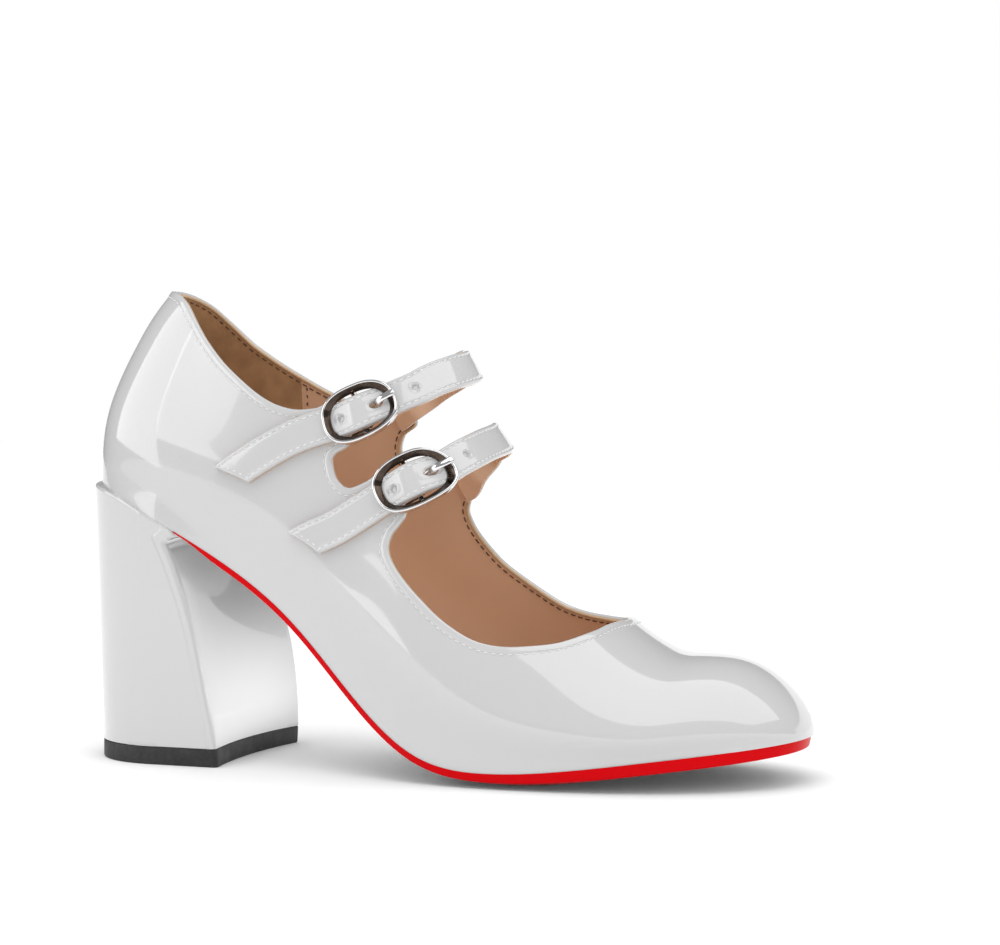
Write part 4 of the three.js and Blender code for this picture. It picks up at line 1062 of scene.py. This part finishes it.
def paint_bounce_greys(material):
    """Paints the light that bounces off the lacquer: diffuse rays that meet it find a dark grey
    instead of its colour, a painted shade that keeps its neighbours untinted and darkens the
    shadow under the toe; glossy rays find a pale grey, a painted reflection that lightens the
    heel's breast."""
    tree = material.node_tree
    shader = tree.nodes["Principled BSDF"]
    source = shader.inputs["Base Color"].links[0].from_node
    mix = add_node(tree, "ShaderNodeMix", {"data_type": "RGBA"})
    grey = add_node(tree, "ShaderNodeMix", {"data_type": "RGBA"})
    grey.inputs["A"].default_value, grey.inputs["B"].default_value = PAINTED_BOUNCE_GREYS
    path = tree.nodes.new("ShaderNodeLightPath")
    either = add_node(tree, "ShaderNodeMath", {"operation": "MAXIMUM"})
    wire(tree, (path, "Is Diffuse Ray", either, 0), (path, "Is Glossy Ray", either, 1),
         (path, "Is Glossy Ray", grey, "Factor"), (grey, "Result", mix, "B"),
         (either, 0, mix, "Factor"), (source, "Color", mix, "A"),
         (mix, "Result", shader, "Base Color"))


FINISH_TABLE = (
    ("patent", "patent", 0.985, (0.08, 0.14), (260.0, 900.0, 0.7, 0.05, 0.02), (20.0, 0.5), 60.0,
     {"Coat Weight": 1.0, "Coat Roughness": 0.02, "Coat IOR": 1.5, "IOR": 1.5}),
    ("sole_lacquer", "sole", 0.9, (0.26, 0.38), (900.0, 3500.0, 0.6, 0.12, 0.05), (40.0, 0.4), 90.0,
     {"Specular IOR Level": 0.06}),
    ("lining_leather", "lining", 0.86, (0.42, 0.6), (1400.0, 3800.0, 0.4, 0.25, 0.06), (28.0, 0.7),
     70.0, {}),
    ("lining_suede", "suede", 0.72, (0.85, 0.98), (2600.0, 5200.0, 0.8, 0.6, 0.12), (170.0, 0.85),
     200.0, {"Sheen Weight": 0.45, "Sheen Roughness": 0.4, "Sheen Tint": (0.8, 0.6, 0.4, 1)}),
    ("binding_leather", "binding", 0.8, (0.4, 0.55), (1600.0, 4200.0, 0.5, 0.2, 0.04), (60.0, 0.6),
     60.0, {}),
    ("white_thread", "thread", 0.85, (0.4, 0.55), (3000.0, 9000.0, 0.6, 0.3, 0.03), (300.0, 0.5),
     300.0, {"Sheen Weight": 0.2}),
    ("dark_thread", "dark_thread", 0.6, (0.5, 0.7), (3000.0, 9000.0, 0.6, 0.3, 0.03), (300.0, 0.5),
     300.0, {}),
    ("black_rubber", "rubber", 2.4, (0.48, 0.68), (1200.0, 5200.0, 0.75, 0.4, 0.06), (900.0, 0.6),
     200.0, {}),
    ("chrome", "metal", 0.93, (0.05, 0.11), (700.0, 2600.0, 0.8, 0.03, 0.02), (200.0, 0.5), 220.0,
     {"Metallic": 1.0}),
    ("smoked_chrome", "smoked", 0.4, (0.06, 0.14), (700.0, 2600.0, 0.8, 0.03, 0.02), (260.0, 0.9),
     220.0, {"Metallic": 1.0}),
    ("black_elastic", "elastic", 3.0, (0.75, 0.95), (2600.0, 8000.0, 0.4, 0.7, 0.1), (700.0, 0.7),
     300.0, {"Sheen Weight": 0.3}),
)


# ---------------------------------------------------------------- properties
def color_prop(name, description, default):
    return bpy.props.FloatVectorProperty(name=name, description=description, default=default,
                                         subtype="COLOR", size=3, min=0.0, max=1.0)


def length_prop(name, description, millimetres):
    return bpy.props.FloatProperty(name=name, description=description, default=millimetres * MM,
                                   unit="LENGTH", min=0.0, precision=5)


class PumpColors(bpy.types.PropertyGroup):
    patent: color_prop("Patent", "Colour of the patent leather", (0.585, 0.585, 0.587))
    sole: color_prop("Sole", "Colour of the lacquered outsole", (0.66, 0.0, 0.003))
    lining: color_prop("Lining", "Colour of the leather lining and sock", (0.71, 0.45, 0.29))
    suede: color_prop("Counter lining", "Colour of the suede at the heel", (0.46, 0.265, 0.13))
    binding: color_prop("Binding", "Colour of the lining's folded edge", (0.62, 0.43, 0.26))
    thread: color_prop("Thread", "Colour of the outside stitches", (0.8, 0.8, 0.8))
    dark_thread: color_prop("Lining thread", "Colour of the inside stitches", (0.1, 0.045, 0.02))
    rubber: color_prop("Top lift", "Colour of the rubber top lift", (0.012, 0.012, 0.013))
    metal: color_prop("Buckle", "Colour of the plated metal", (0.86, 0.86, 0.87))
    smoked: color_prop("Bevel", "Colour of the buckles' dark inner bevel", (0.11, 0.082, 0.066))
    elastic: color_prop("Elastic", "Colour of the elastic tabs", (0.01, 0.01, 0.011))


class PumpSizes(bpy.types.PropertyGroup):
    patent_thickness: length_prop("Patent thickness", "Thickness of the outer leather", 0.9)
    lining_thickness: length_prop("Lining thickness", "Thickness of the linings", 0.7)
    ripple: length_prop("Ripple", "Height of the slow waves in the upper", 0.05)
    stitch_pitch: length_prop("Stitch pitch", "Length of one stitch with its gap", 2.2)
    stitch_length: length_prop("Stitch length", "Length of thread seen in one stitch", 1.4)
    thread_radius: length_prop("Thread radius", "Radius of the outside thread", 0.19)
    floor: length_prop("Floor", "Side of the square floor", 9000.0)


def size(name):
    """One of the scene's sizes, in millimetres."""
    return getattr(bpy.context.scene.pump_sizes, name) / MM


# ---------------------------------------------------------------- operators
class PUMP_OT_finishes(bpy.types.Operator):
    """Builds the shader groups and every material"""
    bl_idname = "pump.finishes"
    bl_label = "Finishes"

    def execute(self, context):
        build_groups()
        for name, key, share, *rest in FINISH_TABLE:
            color = getattr(context.scene.pump_colors, key)
            finish(name, color, [value * share for value in color], *rest)
        # The sole's bounced light is painted: dark grey shade for diffuse rays, pale grey reflection
        # for glossy rays.
        paint_bounce_greys(FINISHES["sole_lacquer"])
        return {"FINISHED"}


class PUMP_OT_upper(bpy.types.Operator):
    """Makes the patent shell of the upper"""
    bl_idname = "pump.upper"
    bl_label = "Upper"

    def execute(self, context):
        loops = np.linspace(-THROAT, THROAT, 2 * THROAT * UPPER_COLUMNS + 1)[:-1, None]
        shares = np.linspace(0, 1, UPPER_ROWS)[None]
        base, normal = wall(loops, shares), wall_normal(loops, shares)
        wave = ripple(base, size("ripple")) * smooth(4 * shares * (1 - shares))
        outer = base + normal * wave[..., None]
        inner = base[:, ::-3] - normal[:, ::-3] * size("patent_thickness")
        shell = np.concatenate([outer, inner], axis=1)
        dress(new_piece("patent_upper", *swept(shell), sharp=50), "patent", "patent_leather", "upper")
        return {"FINISHED"}


class PUMP_OT_linings(bpy.types.Operator):
    """Makes the suede counter lining, the leather front lining and their bound edge"""
    bl_idname = "pump.linings"
    bl_label = "Linings"

    def execute(self, context):
        depth, thick = size("patent_thickness"), size("lining_thickness")
        shares = np.linspace(*LINING["shares"])[None]
        seam = seam_loop(shares)
        loops = np.linspace(-1, 1, LINING["counter_columns"])[:, None] * seam
        body = lining_shell(loops, shares, depth, thick + LINING["nap"])
        dress(new_piece("counter_lining", *body, sharp=60), "lining_suede", "lining_suede")
        turn = np.linspace(-1, 1, LINING["front_columns"])[:, None]
        loops = THROAT + turn * (THROAT - seam + LINING["overlap"])
        body = lining_shell(loops, shares, depth, thick)
        dress(new_piece("front_lining", *body, sharp=60), "lining_leather", "lining_leather")
        body = swept(topline_profile(edge_loop(BINDING_STEP), BINDING))
        dress(new_piece("lining_binding", *body), "binding_leather", "lining_leather")
        below, proud, *thread = EDGE_THREAD
        rows = [edge_stitches(below, -depth - thick - proud, *thread)]
        beside, proud, pitch, *thread = SEAM_THREAD
        share = np.linspace(*LINING["seam_shares"])
        for way in (-1, 1):
            loop = way * (seam_loop(share) + beside)
            normal = wall_normal(loop, share)
            path = wall(loop, share) - normal * (depth + thick + proud)
            rows.append(thread_mesh(*walk(path, pitch, -normal), *thread))
        dress(new_piece("lining_stitches", *joined(rows)), "dark_thread", "sewing_thread")
        return {"FINISHED"}


class PUMP_OT_topline(bpy.types.Operator):
    """Makes the folded top edge of the upper and the stitches under it"""
    bl_idname = "pump.topline"
    bl_label = "Topline"

    def execute(self, context):
        body = swept(topline_profile(edge_loop(FOLD_STEP), FOLD))
        dress(new_piece("topline_fold", *body, sharp=50), "patent", "patent_leather")
        below, proud, thin = TOPLINE_THREAD
        rows = edge_stitches(below, proud, size("stitch_pitch"), size("stitch_length"),
                             size("thread_radius") * thin)
        dress(new_piece("topline_stitches", *rows), "white_thread", "sewing_thread")
        return {"FINISHED"}


class PUMP_OT_sole(bpy.types.Operator):
    """Makes the lacquered outsole and the sock inside the shoe"""
    bl_idname = "pump.sole"
    bl_label = "Sole"

    def execute(self, context):
        rows = [(0.0, SOLE_ROUND * (1 - math.sin(a)), SOLE_ROUND * (1 - math.cos(a)))
                for a in np.linspace(0, math.pi / 2, 5)]
        rows += [(0.5, 0.0, 0.0), (1.0, 0.0, 0.0)]
        body = stacked(sole_point, crowded(120), across_row(33), rows)
        dress(new_piece("red_sole", *body, sharp=40), "sole_lacquer", "sole_lacquer", "outsole")
        body = stacked(sock_point, crowded(130), across_row(49), SOCK_ROWS)
        dress(new_piece("sock", *body, sharp=60), "lining_leather", "lining_leather", "insole")
        return {"FINISHED"}


class PUMP_OT_heel(bpy.types.Operator):
    """Makes the covered heel and its rubber top lift"""
    bl_idname = "pump.heel"
    bl_label = "Heel"

    def execute(self, context):
        us = np.unique(np.concatenate([crowded(60), 1 - np.linspace(0, 0.1, 33)]).round(5))
        vs = np.linspace(-1, 1, 33)
        levels = np.concatenate([np.linspace(0, 0.9, 40), np.linspace(0.91, 0.99, 17)])
        rows = [*HEEL_FOOT_ROWS, *((level, 0.0) for level in levels[1:]), *HEEL_SEAT_ROWS]
        body = stacked(heel_cover_point, us, vs, rows)
        dress(new_piece("heel_cover", *body, sharp=45), "patent", "patent_leather", "heel_block")
        body = stacked(lift_point, us, vs, LIFT_ROWS)
        dress(new_piece("rubber_lift", *body, sharp=45), "black_rubber", "black_rubber", "top_lift")
        return {"FINISHED"}


class PUMP_OT_straps(bpy.types.Operator):
    """Makes both straps with their holes, backing and stitches"""
    bl_idname = "pump.straps"
    bl_label = "Straps"

    def execute(self, context):
        for name, space in STRAP_SPACES.items():
            dress(new_piece(f"{name}_strap", *strap_piece(space, False), sharp=50),
                  "patent", "patent_leather", f"strap_{name}")
            dress(new_piece(f"{name}_strap_backing", *strap_piece(space, True), sharp=50),
                  "lining_leather", "lining_leather")
            rows = strap_stitches(space, size("stitch_pitch"), size("stitch_length"),
                                  size("thread_radius"))
            dress(new_piece(f"{name}_strap_stitches", *rows), "white_thread", "sewing_thread")
        return {"FINISHED"}


class PUMP_OT_buckles(bpy.types.Operator):
    """Makes both buckles: rim, bevel, bar and prong"""
    bl_idname = "pump.buckles"
    bl_label = "Buckles"

    def execute(self, context):
        for name, space in STRAP_SPACES.items():
            rim = joined([swept(oval_ring(space, LIP)), capped(bar_body(space))])
            dress(new_piece(f"{name}_buckle_rim", *rim, sharp=60),
                  "chrome", "polished_metal", f"buckle_{name}")
            dress(new_piece(f"{name}_buckle_bevel", *swept(oval_ring(space, BEVEL)), sharp=35),
                  "smoked_chrome", "polished_metal")
            dress(new_piece(f"{name}_buckle_prong", *capped(prong_body(space)), sharp=70),
                  "chrome", "polished_metal", f"prong_{name}")
        return {"FINISHED"}


class PUMP_OT_elastics(bpy.types.Operator):
    """Makes the ribbed elastic tabs that hold the bars"""
    bl_idname = "pump.elastics"
    bl_label = "Elastic tabs"

    def execute(self, context):
        ring = BAR["radius"] + 0.1 + ELASTIC["thickness"] / 2
        deep = -WALL - GAP - ELASTIC["sink"] - ELASTIC["thickness"] / 2
        tail = [(x, 0.0, deep) for x in (-ELASTIC["tail"], -14.0, -10.0, -7.0, -ELASTIC["flat_to"])]
        loop = [(ring * math.cos(a), 0.0, BAR["level"] + ring * math.sin(a))
                for a in np.linspace(-0.5 * math.pi, 1.15 * math.pi, 12)]
        half, slot = ELASTIC["width"] / 2, ELASTIC["slot"] / 2
        for name, space in STRAP_SPACES.items():
            bands = [elastic_strip(space, -half, half, tail + [(-3.6, 0.0, deep + 0.25)], 9)]
            for low, high in ((-half, -slot), (slot, half)):
                route = [(-4.4, 0.0, deep), (-3.0, 0.0, deep + 0.6), *loop, (-2.6, 0.0, deep + 1.6)]
                bands.append(elastic_strip(space, low, high, route, 3))
            dress(new_piece(f"{name}_elastic_tab", *joined(bands), sharp=60),
                  "black_elastic", "black_elastic", f"elastic_{name}")
        return {"FINISHED"}


# Softboxes: place and aim in metres, turn in degrees, width, height, radiance, and whether they
# light matt surfaces and whether they show as reflections.
SOFTBOXES = (
    ("left_card", (-1.40, -0.73, 0.69), (-0.08, -0.03, 0.69), -6, 1.6, 1.15, 2.0, False, True),
    ("side_card", (-0.875, -1.30, 0.81), (-0.08, -0.03, 0.81), 0, 0.14, 0.91, 2.0, False, True),
    ("top_card", (1.67, -0.22, 1.5), (1.67, -0.22, 0.0), 13, 3.2, 2.4, 1.4, False, True),
    ("back_card", (0.6, 2.2, 0.3), (0.6, 0.0, 0.3), 0, 5.0, 0.6, 0.7, False, True),
    ("key_box", (0.1, -0.7, 2.2), (0.0, 0.0, 0.0), 0, 1.6, 1.2, 2.0, True, False),
    ("arch_fill", (-0.034, 0.0, 0.010), (-0.051, 0.0, 0.057), 0, 0.05, 0.02, 6.5, True, False),
)
WORLD_TONES = (0.99, 0.32, 1.0)   # radiance of the surroundings for matt surfaces, mirrors, camera
FLOOR_TONES = ((0.98, 0.98, 0.98), (0.975, 0.975, 0.975))
FLOOR_SOCKETS = {"Emission Color": (1, 1, 1, 1), "Emission Strength": 0.03, "Specular IOR Level": 0.0}
CAMERA = {"place": (364.72, -660.70, 106.10), "yaw": 19.727, "pitch": -1.701, "lens": 87.85}


class PUMP_OT_stage(bpy.types.Operator):
    """Makes the floor, the softboxes, the surroundings and the camera"""
    bl_idname = "pump.stage"
    bl_label = "Stage"

    def execute(self, context):
        scene = context.scene
        half = size("floor") * MM / 2
        mesh = bpy.data.meshes.new("floor")
        corners = [(-half, -half, 0), (half, -half, 0), (half, half, 0), (-half, half, 0)]
        mesh.from_pydata(corners, [], [(0, 1, 2, 3)])
        floor = bpy.data.objects.new("floor", mesh)
        scene.collection.objects.link(floor)
        finish("studio_floor", *FLOOR_TONES, (0.6, 0.7), tone=(2.0, 0.5), sockets=FLOOR_SOCKETS)
        mesh.materials.append(FINISHES["studio_floor"])

        for name, place, aim, turn, width, height, radiance, lights, shows in SOFTBOXES:
            light = bpy.data.lights.new(name, "AREA")
            light.shape, light.size, light.size_y = "RECTANGLE", width, height
            light.energy = radiance * width * height * math.pi
            lamp = bpy.data.objects.new(name, light)
            lamp.location = place
            lamp.visible_diffuse, lamp.visible_glossy = lights, shows
            lamp.visible_camera = False
            facing = (Vector(aim) - Vector(place)).to_track_quat("-Z", "Y")
            facing.rotate(Quaternion(facing @ Vector((0, 0, 1)), math.radians(turn)))
            lamp.rotation_euler = facing.to_euler()
            scene.collection.objects.link(lamp)

        world = bpy.data.worlds.new("studio")
        scene.world = world
        world.use_nodes = True
        tree = world.node_tree
        tree.nodes.clear()
        path = tree.nodes.new("ShaderNodeLightPath")
        glossy, seen = [tree.nodes.new("ShaderNodeMixShader") for _ in range(2)]
        matt, mirror, view = [
            add_node(tree, "ShaderNodeBackground", Color=(tone, tone, tone, 1), Strength=1.0)
            for tone in WORLD_TONES]
        out = tree.nodes.new("ShaderNodeOutputWorld")
        wire(tree, (path, "Is Glossy Ray", glossy, 0), (matt, 0, glossy, 1), (mirror, 0, glossy, 2),
             (path, "Is Camera Ray", seen, 0), (glossy, 0, seen, 1), (view, 0, seen, 2),
             (seen, 0, out, "Surface"))

        lens = bpy.data.cameras.new("camera")
        lens.lens, lens.sensor_width, lens.sensor_fit = CAMERA["lens"], 36.0, "HORIZONTAL"
        lens.clip_start, lens.clip_end = 0.01, 50.0
        camera = bpy.data.objects.new("camera", lens)
        camera.location = (np.array(CAMERA["place"]) + SHIFT) * MM
        camera.rotation_euler = (math.radians(90 + CAMERA["pitch"]), 0, math.radians(CAMERA["yaw"]))
        scene.collection.objects.link(camera)
        bpy.context.scene.camera = camera
        scene.view_settings.view_transform = "Standard"
        scene.view_settings.look = "None"
        return {"FINISHED"}


class PUMP_PT_panel(bpy.types.Panel):
    """Sidebar panel with the sizes, the colours and one button for each group of pieces"""
    bl_idname = "PUMP_PT_panel"
    bl_label = "Mary Jane Pump"
    bl_space_type = "VIEW_3D"
    bl_region_type = "UI"
    bl_category = "Pump"

    def draw(self, context):
        for group in (context.scene.pump_sizes, context.scene.pump_colors):
            column = self.layout.column()
            for name in group.__annotations__:
                column.prop(group, name)
        for operator in OPERATORS:
            self.layout.operator(operator.bl_idname)


OPERATORS = (PUMP_OT_finishes, PUMP_OT_upper, PUMP_OT_linings, PUMP_OT_topline, PUMP_OT_sole,
             PUMP_OT_heel, PUMP_OT_straps, PUMP_OT_buckles, PUMP_OT_elastics, PUMP_OT_stage)
CLASSES = (PumpColors, PumpSizes, *OPERATORS, PUMP_PT_panel)


def register():
    for entry in CLASSES:
        bpy.utils.register_class(entry)
    bpy.types.Scene.pump_colors = bpy.props.PointerProperty(type=PumpColors)
    bpy.types.Scene.pump_sizes = bpy.props.PointerProperty(type=PumpSizes)


def unregister():
    del bpy.types.Scene.pump_sizes
    del bpy.types.Scene.pump_colors
    for entry in reversed(CLASSES):
        bpy.utils.unregister_class(entry)


def main():
    """Makes every piece in order."""
    register()
    for operator in OPERATORS:
        getattr(bpy.ops.pump, operator.bl_idname.split(".")[1])()


if __name__ == "__main__":
    main()
